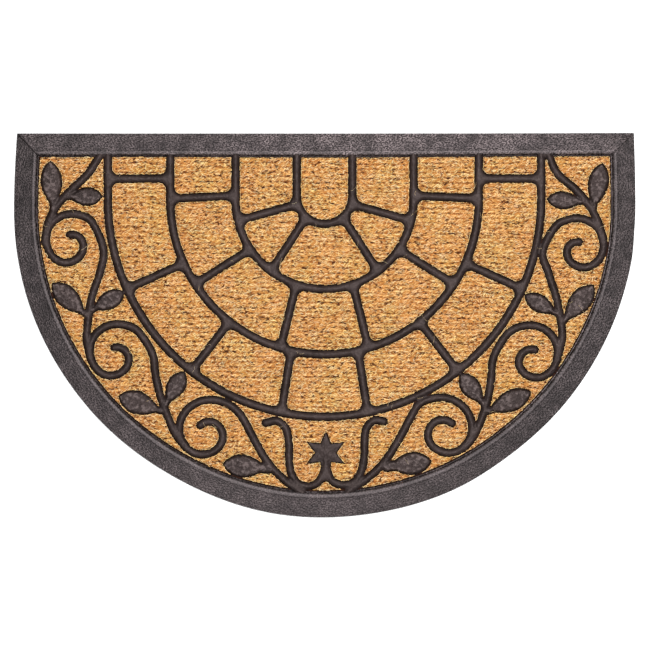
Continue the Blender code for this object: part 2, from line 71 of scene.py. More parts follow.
# Border
BORDER_SECTION = (
    # inset from the outer edge, height
    (0.0000, 0.0000), (0.0000, 0.0018), (0.0003, 0.0024), (0.0010, 0.0030),
    (0.0022, 0.0034), (0.0060, 0.0043), (0.0100, 0.0052), (0.0140, 0.0061),
    (0.0180, 0.0070), (0.0206, 0.0076), (0.0212, 0.0079), (0.0218, 0.0087),
    (0.0225, 0.0093), (0.0233, 0.0095), (0.0242, 0.0094), (0.0256, 0.0091),
    (0.0266, 0.0087), (0.0272, 0.0079), (0.0276, 0.0065), (0.0279, 0.0044),
    (0.0280, 0.0022),
)
LIP_START = 0.0208
LIP_BLEND = 0.0010
SHARP_ANGLE = 50
MITRE_HALF = 0.0009
MITRE_DEPTH = 0.0005
# Paleness of the faces beside each mitre, left and right: painted shade in the mitre creases
MITRE_PAINTED_SHADE = (0.16, 0.34)
ROUND_PAINTED_LIGHT_AND_GRAIN = (
    # share of the way round from the left corner, paleness (painted light), contrast of the grain
    (0.00, 0.45, 1.00),
    (0.18, 0.47, 1.00),
    (0.30, 0.68, 0.80),
    (0.50, 0.73, 0.65),
    (0.62, 0.62, 0.75),
    (0.72, 0.51, 0.95),
    (1.00, 0.50, 1.00),
)
STRAIGHT_PAINTED_LIGHT_AND_GRAIN = (
    # share of the way from the right corner to the left, paleness (painted light), contrast of the
    # grain
    (0.00, 0.88, 1.00),
    (0.25, 1.12, 1.00),
    (0.50, 1.20, 1.00),
    (0.72, 0.74, 1.00),
    (1.00, 0.66, 1.00),
)
STRAIGHT_SHARE = 0.94
BOTTOM_EXTRA = 0.06
EDGE_WAVER = (
    # turn round from the left in degrees, and how far beyond their circles the edges lie:
    # the mat's outer edge, and the coir's edge
    (0.0, 0.0000, 0.0008),
    (8.0, 0.0006, 0.0012),
    (18.0, 0.0008, 0.0015),
    (40.0, -0.0003, 0.0010),
    (60.0, -0.0015, -0.0001),
    (82.0, 0.0005, 0.0001),
    (98.0, -0.0002, -0.0004),
    (114.0, 0.0005, -0.0007),
    (127.0, -0.0011, -0.0011),
    (144.0, 0.0, -0.0009),
    (162.0, 0.0006, 0.0),
    (170.0, 0.0010, 0.0002),
    (176.0, -0.0002, 0.0003),
    (180.0, 0.0, 0.0000),
)
STRAIGHT_WAVER = (
    # across, and how far beyond their lines the same two edges lie
    (-0.350, 0.0001, -0.0006),
    (-0.200, 0.0001, -0.0003),
    (0.000, 0.0001, -0.0009),
    (0.150, 0.0002, -0.0002),
    (0.250, 0.0004, 0.0003),
    (0.350, 0.0007, 0.0007),
)
COIR_INSET = 0.0290
PAD_INSET = 0.0309
PAD_TOP = 0.0287
RIB_END_INSET = 0.0255

# Heights of the tracery, and how far inside an edge each form blends in
RIB_UNDERSIDE = 0.0046
RIB_SHOULDER = 0.0056
RIB_CROWN = 0.0090
RIB_HALF = 0.0042
WEB_REACH = 0.0010
LEAF_EDGE = RIB_CROWN - 0.0002
LEAF_CROWN = 0.0095
LEAF_HALF = 0.0100
LEAF_START = 0.0020
LEAF_BLEND = 0.0040
LEAF_MARK = 0.0030
LEAF_LUMP = 0.00022
LEAF_LUMP_SPACING = 0.0050
MIDRIB_RISE = 0.00035
MIDRIB_WIDTH = 0.0010
MIDRIB_FADE = 4
STAR_EDGE = 0.0072
STAR_SLOPE = 0.27
RUBBER_WAVE = 0.00018
RUBBER_WAVE_SPACING = 0.012
RUBBER_WAVE_BLEND = 0.0020

# Heights of the coir
COIR_UNDERSIDE = 0.0026
GROOVE_FLOOR = 0.0042
PAD_RIM = 0.0056
PAD_EDGE = 0.0076
PAD_CROWN = 0.0091
PAD_ROUNDING = 0.0012
PAD_SWELL = 0.0120
SIDE_CLEAR = 0.0009

# Fan of paving stones: round courses with straight legs up to the border
FAN_RIB = 0.0086
FAN_WEB = 0.0085
JOINT_SETBACK = 0.0064
FAN_DOWN = 0.0806
COURSES = {
    # name: (radius, how far down its centre lies)
    "first": (0.2610, FAN_DOWN),
    "second": (0.1858, FAN_DOWN),
    "third": (0.1072, FAN_DOWN),
    "arch": (0.0335, 0.0757),
}
RADIAL_JOINTS = (
    # inner course, outer course, turn from straight down at the inner end and at the outer end
    ("second", "first", 12.5, 11.5),
    ("second", "first", 38.0, 37.9),
    ("second", "first", 65.8, 65.8),
    ("third", "second", 18.5, 16.6),
    ("third", "second", 56.4, 57.0),
    ("arch", "third", 40.9, 37.0),
    ("arch", "third", 73.0, 76.6),
)
LEVEL_JOINTS = (
    # inner course, outer course, down at the inner end and at the outer end
    ("second", "first", 0.0547, 0.0547),
    ("third", "second", 0.0753, 0.0787),
)

# Vine: scrolls that run on into stems, the same on both sides but for small shifts
VINE_RIB = 0.0082
VINE_WEB = 0.0022
SCROLLS = (
    # side, across, down, quarter turns from upright to the tip, radius at each quarter turn
    (-1, 0.3099, 0.1327, 0.20, (0.0086, 0.0190, 0.0232, 0.0250, 0.0350, 0.0440)),
    (-1, 0.2565, 0.2692, 0.20, (0.0091, 0.0204, 0.0229, 0.0254, 0.0386, 0.0492)),
    (-1, 0.1454, 0.3622, -0.25, (0.0133, 0.0227, 0.0248, 0.0290, 0.0403, 0.0543)),
    (1, 0.3099, 0.1411, 0.20, (0.0086, 0.0176, 0.0205, 0.0257, 0.0380, 0.0470)),
    (1, 0.2543, 0.2740, 0.05, (0.0127, 0.0201, 0.0204, 0.0254, 0.0419, 0.0507)),
    (1, 0.1481, 0.3610, -0.28, (0.0146, 0.0234, 0.0241, 0.0290, 0.0416, 0.0564)),
)
SCROLL_END = 4.5
SCROLL_STEPS = 24
STEMS = (
    # after each scroll of the same row, the stem's way on: across and down
    ((0.2662, 0.1412), (0.2704, 0.1678), (0.2800, 0.1967), (0.2849, 0.2257), (0.2865, 0.2475),
     (0.2825, 0.2692)),
    ((0.2070, 0.2668), (0.2040, 0.2885), (0.1978, 0.3163), (0.1883, 0.3429), (0.1780, 0.3646),
     (0.1671, 0.3779)),
    ((0.1003, 0.3405), (0.0826, 0.3731), (0.0662, 0.3996), (0.0464, 0.4191), (0.0340, 0.4281),
     (0.0262, 0.4326)),
    ((0.2628, 0.1436), (0.2700, 0.1690), (0.2792, 0.1980), (0.2846, 0.2257), (0.2863, 0.2463),
     (0.2805, 0.2711)),
    ((0.2036, 0.2704), (0.2006, 0.2961), (0.1971, 0.3175), (0.1891, 0.3441), (0.1783, 0.3670),
     (0.1686, 0.3779)),
    ((0.1037, 0.3429), (0.0860, 0.3751), (0.0692, 0.3996), (0.0490, 0.4178), (0.0360, 0.4266),
     (0.0280, 0.4321)),
)
FIRST_STEMS = (
    # side, then the way from the border to the first scroll: across and down
    (-1, (0.2681, 0.0230), (0.2850, 0.0488), (0.3067, 0.0699), (0.3229, 0.0881),
     (0.3326, 0.1074), (0.3368, 0.1311)),
    (1, (0.2686, 0.0230), (0.2801, 0.0482), (0.3006, 0.0663), (0.3177, 0.0856),
     (0.3292, 0.1062), (0.3353, 0.1291)),
)
LEAVES = (
    # side, across and down at the base, across and down at the tip, width, width of its neck
    (-1, 0.3270, 0.0905, 0.3305, 0.0337, 0.0245, 0.0066),
    (-1, 0.3097, 0.0765, 0.2676, 0.0762, 0.0212, 0.0066),
    (-1, 0.2879, 0.2185, 0.3278, 0.1810, 0.0245, 0.0066),
    (-1, 0.2795, 0.2128, 0.2417, 0.1914, 0.0208, 0.0066),
    (-1, 0.1973, 0.3344, 0.2478, 0.3169, 0.0266, 0.0066),
    (-1, 0.1910, 0.3260, 0.1692, 0.2874, 0.0212, 0.0066),
    (-1, 0.0681, 0.4037, 0.1222, 0.3988, 0.0264, 0.0115),
    (1, 0.3238, 0.0905, 0.3346, 0.0367, 0.0234, 0.0066),
    (1, 0.3123, 0.0827, 0.2680, 0.0794, 0.0199, 0.0066),
    (1, 0.2882, 0.2262, 0.3240, 0.1834, 0.0250, 0.0066),
    (1, 0.2797, 0.2173, 0.2415, 0.1951, 0.0200, 0.0066),
    (1, 0.1964, 0.3353, 0.2484, 0.3117, 0.0245, 0.0066),
    (1, 0.1915, 0.3260, 0.1638, 0.2897, 0.0220, 0.0066),
    (1, 0.0756, 0.4017, 0.1285, 0.3950, 0.0260, 0.0115),
)
LEAF_WIDEST = 0.58
LEAF_RISE = 1.15
LEAF_FALL = LEAF_RISE * (1 - LEAF_WIDEST) / LEAF_WIDEST
MIDRIB_SHARES = (0.12, 0.90)

# Lyre hooks at the bottom, and the star between them
HOOKS = (
    # side, then the way from the tip under the fan down and round to the star's stalk
    (-1, (0.0708, 0.3488), (0.0570, 0.3466), (0.0468, 0.3553), (0.0430, 0.3721), (0.0428, 0.3911),
     (0.0400, 0.4101), (0.0310, 0.4226), (0.0175, 0.4251), (0.0065, 0.4191), (0.0000, 0.4071)),
    (1, (0.0716, 0.3474), (0.0600, 0.3458), (0.0506, 0.3553), (0.0482, 0.3721), (0.0477, 0.3911),
     (0.0435, 0.4091), (0.0345, 0.4211), (0.0200, 0.4236), (0.0085, 0.4181), (0.0030, 0.4071)),
)
STAR_ACROSS = 0.0015
STAR_DOWN = 0.3850
STAR_POINTS = 6
STAR_RADIUS = 0.0246
STAR_NOTCH = 0.0121
STALK_WIDTH = 0.0102
STALK_END_DOWN = 0.4140

# How far aside of the mat's centreline the whole tracery lies
TRACERY_ASIDE = -0.00036

# Fine grid over the tracery, from and to across and down, and how far from a form it is read
GRID_PITCH = 0.0008
GRID_RANGES = ((-0.362, 0.3625), (0.012, 0.4535))
GRID_ACROSS, GRID_DOWN = (np.arange(*ends, GRID_PITCH) for ends in GRID_RANGES)
ACROSS, DOWN = np.meshgrid(GRID_ACROSS, GRID_DOWN)
ASIDE = ACROSS - TRACERY_ASIDE
REACH = 0.014

# How finely the tracery is drawn
PATH_STEP = 0.003
ARC_LEAST_STEPS = 12
LEVELS = (0.0, 0.0005, 0.0012, 0.0021, 0.0031)
LOOP_STEP = 0.0014
FILL_STEP = 0.0014
FILL_INSIDE = 0.0037
SMALLEST_PAD = 0.000020
MERGE_GAP = 1e-7

# Weave: rows of twisted coir yarn along X
ROW_PITCH = 0.0060
ROW_TWIST = (9.0, 8.0)
ROW_TWIST_COUNT = 97
WEAVE_DEPTH = 0.0008
WEAVE_BLEND = 0.0020
WEAVE_SHADE_BLEND = 0.0016
WEAVE_UNEVEN = (0.45, 0.0036)
WEAVE_DRIFTS = (
    # reach and spacing
    (0.0020, 0.045),
    (0.0011, 0.013),
)
PAD_PITCH = 0.0016
PAD_LEAST_SLOPE = 0.5
PAD_PROBE = 0.0004

# Strands: coir fibres along each row, three lanes deep, finer loose ones over them, and short
# ones along the rims of the pads
STRANDS = {
    # kind: mean turn in degrees and its spread, length and its spread, radius, and the least and
    # the most share of that radius
    "row": (0.0, 28.0, 0.0066, 0.28, 0.00044, 0.60, 1.35),
    "loose": (8.0, 36.0, 0.0075, 0.30, 0.00021, 0.70, 1.40),
    "rim": (0.0, 20.0, 0.0036, 0.30, 0.00044, 0.50, 1.20),
}
LANES = 3
LANE_UNEVEN = 0.22
STRAND_STEP = 0.0025
STEP_UNEVEN = 0.9
STRAND_SHARES = (-0.5, -0.2, 0.2, 0.5)
STRAND_BEND = 0.17
STRAND_RISE = 0.00060
STRAND_SINK = 0.00090
STRAND_UNEVEN = 0.00030
STRAND_FRAY = 0.0006
STRAND_TIP = 0.25
STRAND_LEAST_INSIDE = 0.0002
TIP_SHADE = 0.15
LANE_SHADE = 0.62
CUT_SHARE = 0.45
EDGE_PROBE = 0.0005
ROW_TONE = 0.57
ROW_TONE_SPREAD = 0.17
ROW_TONE_PATCHES = (0.15, 0.004)
LOOSE_COUNT = 12000
LOOSE_TONES = (0.55, 1.0)
LOOSE_LIFTS = (0.0001, 0.0005)
RIM_INSIDE = 0.0001
RIM_SHIFT = 0.0004
RIM_STEP = 0.0022
RIM_TONE = (0.55, 0.18)
RIM_LIFTS = (0.0, 0.0006)
STRETCHES = (
    # name, from and to across
    ("coir_yarn_far_left", -1.0, -0.155),
    ("coir_yarn_left", -0.155, 0.0),
    ("coir_yarn_right", 0.0, 0.155),
    ("coir_yarn_far_right", 0.155, 1.0),
)
# The pads' ground under the strands is near black: painted shade between the strands
GROUND_SHADE_TONE = 0.04

# Stray hairs
HAIR_COUNT = 110
HAIR_LENGTH = 0.010
HAIR_LENGTHS = (0.5, 1.5)
HAIR_RADIUS = 0.00011
HAIR_POINTS = 9
HAIR_CURL = 1.0
HAIR_TONES = (0.75, 1.0)
HAIR_INSIDE = 0.004
HAIR_END_INSIDE = 0.0005
HAIR_OVER_RIB = -0.0010

# Seeds of what is drawn at random
LATTICE_SIZE = 256
SEEDS = {"twist": 6, "lump": 11, "fine lump": 12, "rubber": 21, "drift": 31, "weave": 33,
         "strand": 41, "hair": 43, "tone": 45}
ROW_TWISTS = np.random.default_rng(SEEDS["twist"]).normal(*ROW_TWIST, ROW_TWIST_COUNT)

# Colours, each with its place on a ramp
COIR_TONES = (
    (0.00, (0.300, 0.110, 0.020)),
    (0.25, (0.755, 0.432, 0.128)),
    (0.50, (0.915, 0.622, 0.262)),
    (0.75, (0.890, 0.688, 0.375)),
    (1.00, (0.830, 0.675, 0.450)),
)
COIR_FLECKS = (
    (0.385, (0.17, 0.08, 0.02)),
    (0.432, (1.00, 1.00, 1.00)),
)
COIR_TINTS = (
    (0.35, (1.00, 0.93, 0.90)),
    (0.50, (1.00, 1.00, 1.00)),
    (0.65, (0.97, 1.00, 0.91)),
)
# Painted shade by depth: dark where the weave dips, at strand tips and on the pads' walls
COIR_GAP_SHADE = (
    (0.00, (0.06, 0.030, 0.015)),
    (0.45, (0.60, 0.45, 0.33)),
    (0.85, (1.00, 1.00, 1.00)),
)
RUBBER_TONES = (
    (0.35, (0.0105, 0.0070, 0.0068)),
    (0.70, (0.0240, 0.0165, 0.0160)),
)
# Paler mottled patches added to the leaves' colour
LEAF_TONES = (
    (0.49, (0.0, 0.0, 0.0)),
    (0.63, (0.070, 0.055, 0.053)),
)
BORDER_TONES = (
    (0.46, (0.0025, 0.0015, 0.0018)),
    (0.58, (0.1250, 0.1000, 0.1010)),
)

# Plain colours: the border where its grain is worn, and the tints of the rubber's shine
BORDER_TONE = (0.0500, 0.0390, 0.0400, 1.0)
BORDER_SHINE = (1.0, 0.88, 0.89, 1.0)
RUBBER_SHINE = (1.0, 0.80, 0.76, 1.0)

# Noises: scale and detail
COIR_PATCHES = (42.0, 3.0)
COIR_FLECK = (270.0, 4.0)
RUBBER_CLOUD = (60.0, 4.0)
RUBBER_SHEEN = (220.0, 3.0)
RUBBER_UNEVEN = (260.0, 3.0)
LEAF_MOTTLE = (260.0, 5.0)
LEAF_PITS = (620.0, 2.0)
BORDER_GRAIN = (0.9, 4.0)
BORDER_PATCHES = (70.0, 4.0)

# Looks that follow another value: its low and high, and what they give
# More dark flecks where the weave lies deep: painted shade
FLECK_SHADE_BY_DEPTH = (0.3, 1.0, -0.03, 0.02)
SHEEN_ROUGHNESS = (0.3, 0.7, 0.47, 0.68)
PATCH_PALENESS = (0.35, 0.65, 0.45, 1.55)
# Shine by paleness, which is painted light and shade
SHINE_BY_PAINTED_LIGHT = (0.0, 0.5, 0.08, 0.5)
LIP_ROUGHNESS = (0.0, 1.0, 0.60, 0.52)
LIP_SMOOTHNESS = (0.0, 1.0, 1.0, 0.12)
PEBBLE_HEIGHT = (0.0, 0.7, 1.0, 0.0)

# Depths of the bumps, and the grain's scales
COIR_BUMP = 0.0003
RUBBER_BUMP = 0.0016
LEAF_BUMP = 0.0009
BORDER_BUMP = 0.0010
FLECK_STRETCH = (0.8, 1.8, 1.0)
GRAIN_ALONG = 540.0
GRAIN_ACROSS = 700.0

# Stage, light and camera
FLOOR_SIZE = 8.0
FLOOR_GAP = 0.0002
FLOOR_COLOUR = (0.88, 0.88, 0.88, 1)
LIGHTS = (
    # name, place, size, power in watts
    ("key", (0.40, 0.80, 2.20), 1.0, 70.0),
    ("fill", (-0.20, -0.90, 2.20), 1.0, 36.0),
)
WORLD_STRENGTH = 0.17
CAMERA_HEIGHT = 2.6
CAMERA_REACH = 20.0
SENSOR_WIDTH = 36.0
PHOTO_PIXELS = 650
PIXEL_SIZE = 0.0012077
CENTRELINE_PIXEL = 324.8
STRAIGHT_EDGE_PIXEL = 133.7


def place(across, down, height):
    """World positions of points given from the centreline and the straight edge."""
    across, down, height = np.broadcast_arrays(across, down, height)
    return np.stack((across, MAT_DEPTH / 2 - down, height), axis=-1)


def add_object(name, data):
    added = bpy.data.objects.new(name, data)
    bpy.context.scene.collection.objects.link(added)
    return added


def add_mesh(name, points, faces, material):
    """A smooth-shaded object from points and faces."""
    mesh = bpy.data.meshes.new(name)
    mesh.from_pydata(np.asarray(points).tolist(), [], faces)
    mesh.shade_smooth()
    mesh.materials.append(material)
    return add_object(name, mesh)


def add_attribute(piece, name, values, domain="POINT"):
    attribute = piece.data.attributes.new(name, "FLOAT", domain)
    attribute.data.foreach_set("value", np.asarray(values, dtype=np.float32))


def ease(share):
    """Smooth step from 0 to 1."""
    share = np.clip(share, 0, 1)
    return share * share * (3 - 2 * share)


def dome(share):
    """Round rise from 0 at an edge to 1."""
    return 1 - (1 - np.clip(share, 0, 1)) ** 2


def soft_noise(across, down, spacing, seed):
    """Smooth noise from about -1 to 1 over a lattice of random values."""
    size = LATTICE_SIZE
    lattice = np.random.default_rng(SEEDS[seed]).uniform(-1, 1, (size, size))
    x = np.asarray(across) / spacing + size / 2
    y = np.asarray(down) / spacing + size / 2
    column = np.floor(x).astype(int)
    row = np.floor(y).astype(int)
    u = ease(x - column)
    v = ease(y - row)

    def read(column):
        upper = lattice[row % size, column % size]
        return upper * (1 - v) + lattice[(row + 1) % size, column % size] * v

    return read(column) * (1 - u) + read(column + 1) * u


# Outline and border

def waver(places, table, inset):
    """How far an outline lies beyond its plain form."""
    at, outer, inner = np.transpose(table)
    places = np.clip(places, at[0], at[-1])
    after = np.clip(np.searchsorted(at, places, side="right"), 1, len(at) - 1)
    share = ease((places - at[after - 1]) / (at[after] - at[after - 1]))
    depth = min(1, inset / COIR_INSET)
    reach = outer * (1 - depth) + inner * depth
    return reach[after - 1] * (1 - share) + reach[after] * share


def round_reach(turn, inset):
    """An outline's radius at a turn round from the left."""
    return ROUND_RADIUS - inset + waver(np.degrees(turn), EDGE_WAVER, inset)


def round_down(inset):
    """How far down the round part's centre lies: the border is wider at the bottom."""
    return ROUND_DOWN - inset * BOTTOM_EXTRA


def side_across(down, inset, side):
    """An outline's reach to one side above its round part, where it leans in a little."""
    left, right = CORNER_LEANS
    lean = np.where(side < 0, left, right) * np.clip(1 - down / ROUND_DOWN, 0, 1) ** LEAN_POWER
    turn = np.where(side < 0, 0, math.pi)
    return ROUND_RADIUS - lean - inset + waver(np.degrees(turn), EDGE_WAVER, inset)


def straight_down(across, inset):
    """How far down an outline runs along the straight edge."""
    return inset * STRAIGHT_SHARE - waver(across, STRAIGHT_WAVER, inset)


def side_points(inset, side):
    """One side of an outline, from its corner down to the round part."""
    corner_down = straight_down(side * ROUND_RADIUS, inset)
    down = np.linspace(corner_down + MITRE_HALF, round_down(inset), SIDE_STEPS, endpoint=False)
    down = np.concatenate(((corner_down,), down))
    return side * side_across(down, inset, side), down


def run_along(points):
    """How far along a line of points each of them lies."""
    return np.concatenate(((0,), np.cumsum(np.hypot(*np.diff(points, axis=0).T))))


def outline(inset):
    """Closed half-round at an inset, from the left corner down, round and back."""
    left = side_points(inset, -1)
    right = side_points(inset, 1)
    turn = np.linspace(0, math.pi, ROUND_STEPS + 1)
    radius = round_reach(turn, inset)
    top = np.linspace(right[0][0] - MITRE_HALF, left[0][0] + MITRE_HALF, STRAIGHT_STEPS)
    parts = (
        left,
        (-radius * np.cos(turn), round_down(inset) + radius * np.sin(turn)),
        (right[0][::-1], right[1][::-1]),
        (top, straight_down(top, inset)),
    )
    return np.concatenate([np.stack(part, axis=1) for part in parts])


def band(first, second):
    """Squares between two closed rings of points."""
    return list(zip(first, first[1:] + first[:1], second[1:] + second[:1], second))


def border_piece(material):
    """Base sheet and border in one: rings along the section, closed above and below."""
    edge = outline(0)
    count = len(edge)
    points = []
    for inset, height in BORDER_SECTION:
        heights = np.full(count, height)
        if height > 2 * MITRE_DEPTH:
            heights[list(CORNERS)] -= MITRE_DEPTH
        points.append(place(*outline(inset).T, heights))
    rings = np.arange(len(points) * count).reshape(-1, count).tolist()
    faces = []
    for ring, after in zip(rings, rings[1:]):
        faces += band(ring, after)
    faces += [rings[0][::-1], rings[-1]]
    piece = add_mesh("rubber_border", np.concatenate(points), faces, material)
    piece.data.set_sharp_from_angle(angle=math.radians(SHARP_ANGLE))
    for line in piece.data.edges:
        low, high = line.vertices
        if low % count == high % count and low % count in CORNERS:
            line.use_edge_sharp = True
    insets = np.repeat([inset for inset, height in BORDER_SECTION], count)
    add_attribute(piece, "run", np.tile(run_along(edge), len(points)))
    add_attribute(piece, "inset", insets)
    add_attribute(piece, "lip", ease((insets - LIP_START) / LIP_BLEND))
    # Paleness is painted light and shade: each stretch lighter or darker as the light falls on it
    for name, looks in zip(("painted_light", "contrast"), stretch_painted_light_and_grain(count)):
        stretches = np.tile(looks, len(points) - 1)
        add_attribute(piece, name, np.concatenate((stretches, (1, 1))), "FACE")
    return piece


def stretch_painted_light_and_grain(count):
    """Painted light and grain contrast from each outline point to the next, painted shade at mitres.
    """
    stretch = np.arange(count)
    right = CORNERS[1]
    looks = []
    for column in (1, 2):
        round_part = np.interp(stretch / right, *np.transpose(ROUND_PAINTED_LIGHT_AND_GRAIN)[[0, column]])
        straight_part = np.interp((stretch - right) / (count - right),
                                  *np.transpose(STRAIGHT_PAINTED_LIGHT_AND_GRAIN)[[0, column]])
        looks.append(np.where(stretch < right, round_part, straight_part))
    # The faces beside each mitre are darkened as painted shade in the crease
    for corner, dark in zip(CORNERS, MITRE_PAINTED_SHADE):
        looks[0][[corner - 1, corner]] = dark
    return looks


# Paths of the tracery's ribs

def between(one, other, low, high, t):
    """The point between two others at t, which runs from low to high."""
    return one * (high - t) / (high - low) + other * (t - low) / (high - low)


def smooth_path(points, side):
    """Centripetal spline through points on one side, read at about even steps."""
    points = np.array(points, dtype=float)
    padded = np.vstack((2 * points[0] - points[1], points, 2 * points[-1] - points[-2]))
    path = [points[0]]
    for start in range(len(padded) - 3):
        a, b, c, d = padded[start:start + 4]
        gaps = [np.linalg.norm(after - here) for here, after in ((a, b), (b, c), (c, d))]
        t0, t1, t2, t3 = np.cumsum([0.0] + [math.sqrt(gap) for gap in gaps])
        pieces = max(1, round(gaps[1] / PATH_STEP))
        for t in t1 + (t2 - t1) * np.arange(1, pieces + 1) / pieces:
            bc = between(b, c, t1, t2, t)
            abc = between(between(a, b, t0, t1, t), bc, t0, t2, t)
            bcd = between(bc, between(c, d, t2, t3, t), t1, t3, t)
            path.append(between(abc, bcd, t1, t2, t))
    return np.array(path) * (side, 1)


def course_point(name, turn):
    """Point on a course's round part, at a turn in degrees from straight down."""
    radius, centre_down = COURSES[name]
    turn = math.radians(turn)
    return radius * math.sin(turn), centre_down + radius * math.cos(turn)


def course_path(name):
    """A course as a U that opens to the straight edge."""
    radius = COURSES[name][0]
    border_down = RIB_END_INSET * STRAIGHT_SHARE
    steps = max(ARC_LEAST_STEPS, round(math.pi * radius / PATH_STEP))
    arc = [course_point(name, turn) for turn in np.linspace(-90, 90, steps)]
    return np.array([(-radius, border_down), *arc, (radius, border_down)])


def shortened(joint):
    """A joint short of its courses, so that its web rounds only the near side."""
    start, end = joint
    setback = (end - start) / np.linalg.norm(end - start) * JOINT_SETBACK
    return np.array((start + setback, end - setback))


def joint_paths():
    """Joints between the courses, on both sides."""
    one_side = []
    for inner, outer, inner_turn, outer_turn in RADIAL_JOINTS:
        one_side.append((course_point(inner, inner_turn), course_point(outer, outer_turn)))
    for inner, outer, inner_down, outer_down in LEVEL_JOINTS:
        one_side.append(((COURSES[inner][0], inner_down), (COURSES[outer][0], outer_down)))
    return [shortened(np.array(joint) * (side, 1)) for joint in one_side for side in (-1, 1)]


def radius_at(radii, quarter):
    """A scroll's radius between its quarter turns, on a smooth curve."""
    radii = np.array(radii)
    whole = int(np.clip(math.floor(quarter), 0, len(radii) - 2))
    part = quarter - whole
    here, there = radii[whole:whole + 2]
    slope_here, slope_there = np.gradient(radii)[whole:whole + 2]
    cubic = 2 * (here - there) + slope_here + slope_there
    square = 3 * (there - here) - 2 * slope_here - slope_there
    return here + part * (slope_here + part * (square + part * cubic))


def scroll_path(scroll, stem):
    """A scroll from its tip outwards, running on into its stem."""
    side, across, down, tip_quarter, radii = scroll
    points = []
    for quarter in np.linspace(tip_quarter, SCROLL_END, SCROLL_STEPS):
        radius = radius_at(radii, quarter)
        turn = quarter * math.pi / 2
        points.append((across - radius * math.sin(turn), down - radius * math.cos(turn)))
    return smooth_path(points + list(stem), side)


def vine_paths():
    paths = [scroll_path(scroll, stem) for scroll, stem in zip(SCROLLS, STEMS)]
    return paths + [smooth_path(points, side) for side, *points in FIRST_STEMS + HOOKS]


# The tracery as fields: how far inside each form every point of a fine grid lies

def nearby(points, reach=REACH):
    """Rows and columns of the grid within reach of the points."""
    low = np.min(points, axis=0) - reach
    high = np.max(points, axis=0) + reach
    columns = slice(*np.searchsorted(GRID_ACROSS, (low[0], high[0])))
    rows = slice(*np.searchsorted(GRID_DOWN, (low[1], high[1])))
    return rows, columns


def along_and_off(window, start, end):
    """How far along a line each point of a window lies, from 0 to 1, and how far off it."""
    way = end - start
    across = ASIDE[window] - start[0]
    down = DOWN[window] - start[1]
    share = np.clip((across * way[0] + down * way[1]) / np.dot(way, way), 0, 1)
    return share, np.hypot(across - share * way[0], down - share * way[1])


def path_field(path, width):
    """Half the width less the distance to the path."""
    field = np.full(ACROSS.shape, -REACH)
    for start, end in zip(path, path[1:]):
        window = nearby((start, end))
        share, off = along_and_off(window, start, end)
        field[window] = np.maximum(field[window], width / 2 - off)
    return field


def leaf_axis(leaf):
    """A leaf's base and tip."""
    side, base_across, base_down, tip_across, tip_down = leaf[:5]
    return np.array((side * base_across, base_down)), np.array((side * tip_across, tip_down))


def leaf_field(leaf):
    """A leaf round its axis, narrow at the base and blunt at the tip."""
    axis = leaf_axis(leaf)
    width, neck_width = leaf[5:]
    field = np.full(ACROSS.shape, -REACH)
    window = nearby(axis)
    share, off = along_and_off(window, *axis)
    fullest = LEAF_WIDEST ** LEAF_RISE * (1 - LEAF_WIDEST) ** LEAF_FALL
    half = width / 2 * share ** LEAF_RISE * (1 - share) ** LEAF_FALL / fullest
    neck = np.where(share < LEAF_WIDEST, neck_width / 2, 0)
    field[window] = np.maximum(np.maximum(half, neck) - off, -REACH)
    return field


def star_field():
    """A straight-sided star, folded to half of one point, from its tip to a notch."""
    across = ASIDE - STAR_ACROSS
    up = STAR_DOWN - DOWN
    sector = 2 * math.pi / STAR_POINTS
    turn = np.arctan2(across, up)
    turn = np.abs(turn - sector * np.round(turn / sector))
    radius = np.hypot(across, up)
    along, out = radius * np.cos(turn), radius * np.sin(turn)
    side = np.array((STAR_NOTCH * math.cos(sector / 2) - STAR_RADIUS,
                     STAR_NOTCH * math.sin(sector / 2)))
    side /= np.linalg.norm(side)
    return np.maximum((STAR_RADIUS - along) * side[1] + out * side[0], -REACH)


def round_union(first, second, radius):
    """Join two fields with a round fillet where their edges meet."""
    corner = np.hypot(np.maximum(radius + first, 0), np.maximum(radius + second, 0))
    return corner - np.maximum(radius, -np.maximum(first, second))


def tracery_fields():
    """The whole tracery's field, and those of its ribs, leaves, star and stalk."""
    fan = np.maximum.reduce([path_field(course_path(name), FAN_RIB) for name in COURSES])
    joints = np.maximum.reduce([path_field(joint, FAN_RIB) for joint in joint_paths()])
    leaves = [leaf_field(leaf) for leaf in LEAVES]
    ribs = round_union(fan, joints, FAN_WEB)
    for field in [path_field(path, VINE_RIB) for path in vine_paths()] + leaves:
        ribs = round_union(ribs, field, VINE_WEB)
    star = star_field()
    stalk_ends = np.array(((STAR_ACROSS, STAR_DOWN), (STAR_ACROSS, STALK_END_DOWN)))
    stalk = path_field(stalk_ends, STALK_WIDTH)
    whole = fill_small_holes(round_union(np.maximum(ribs, star), stalk, VINE_WEB))
    return {"whole": whole, "ribs": ribs, "leaves": np.maximum.reduce(leaves), "star": star,
            "stalk": stalk}


def coir_field():
    """How far inside the half-round of the pads each grid point lies."""
    centre_down = round_down(PAD_INSET)
    turn = np.arctan2(np.maximum(DOWN - centre_down, 0), -ACROSS)
    round_gap = round_reach(turn, PAD_INSET) - np.hypot(ACROSS, DOWN - centre_down)
    side_gap = side_across(DOWN, PAD_INSET, ACROSS) - np.abs(ACROSS)
    top_gap = DOWN - PAD_TOP + waver(ACROSS, STRAIGHT_WAVER, PAD_INSET)
    return np.minimum(np.where(DOWN > centre_down, round_gap, side_gap), top_gap)


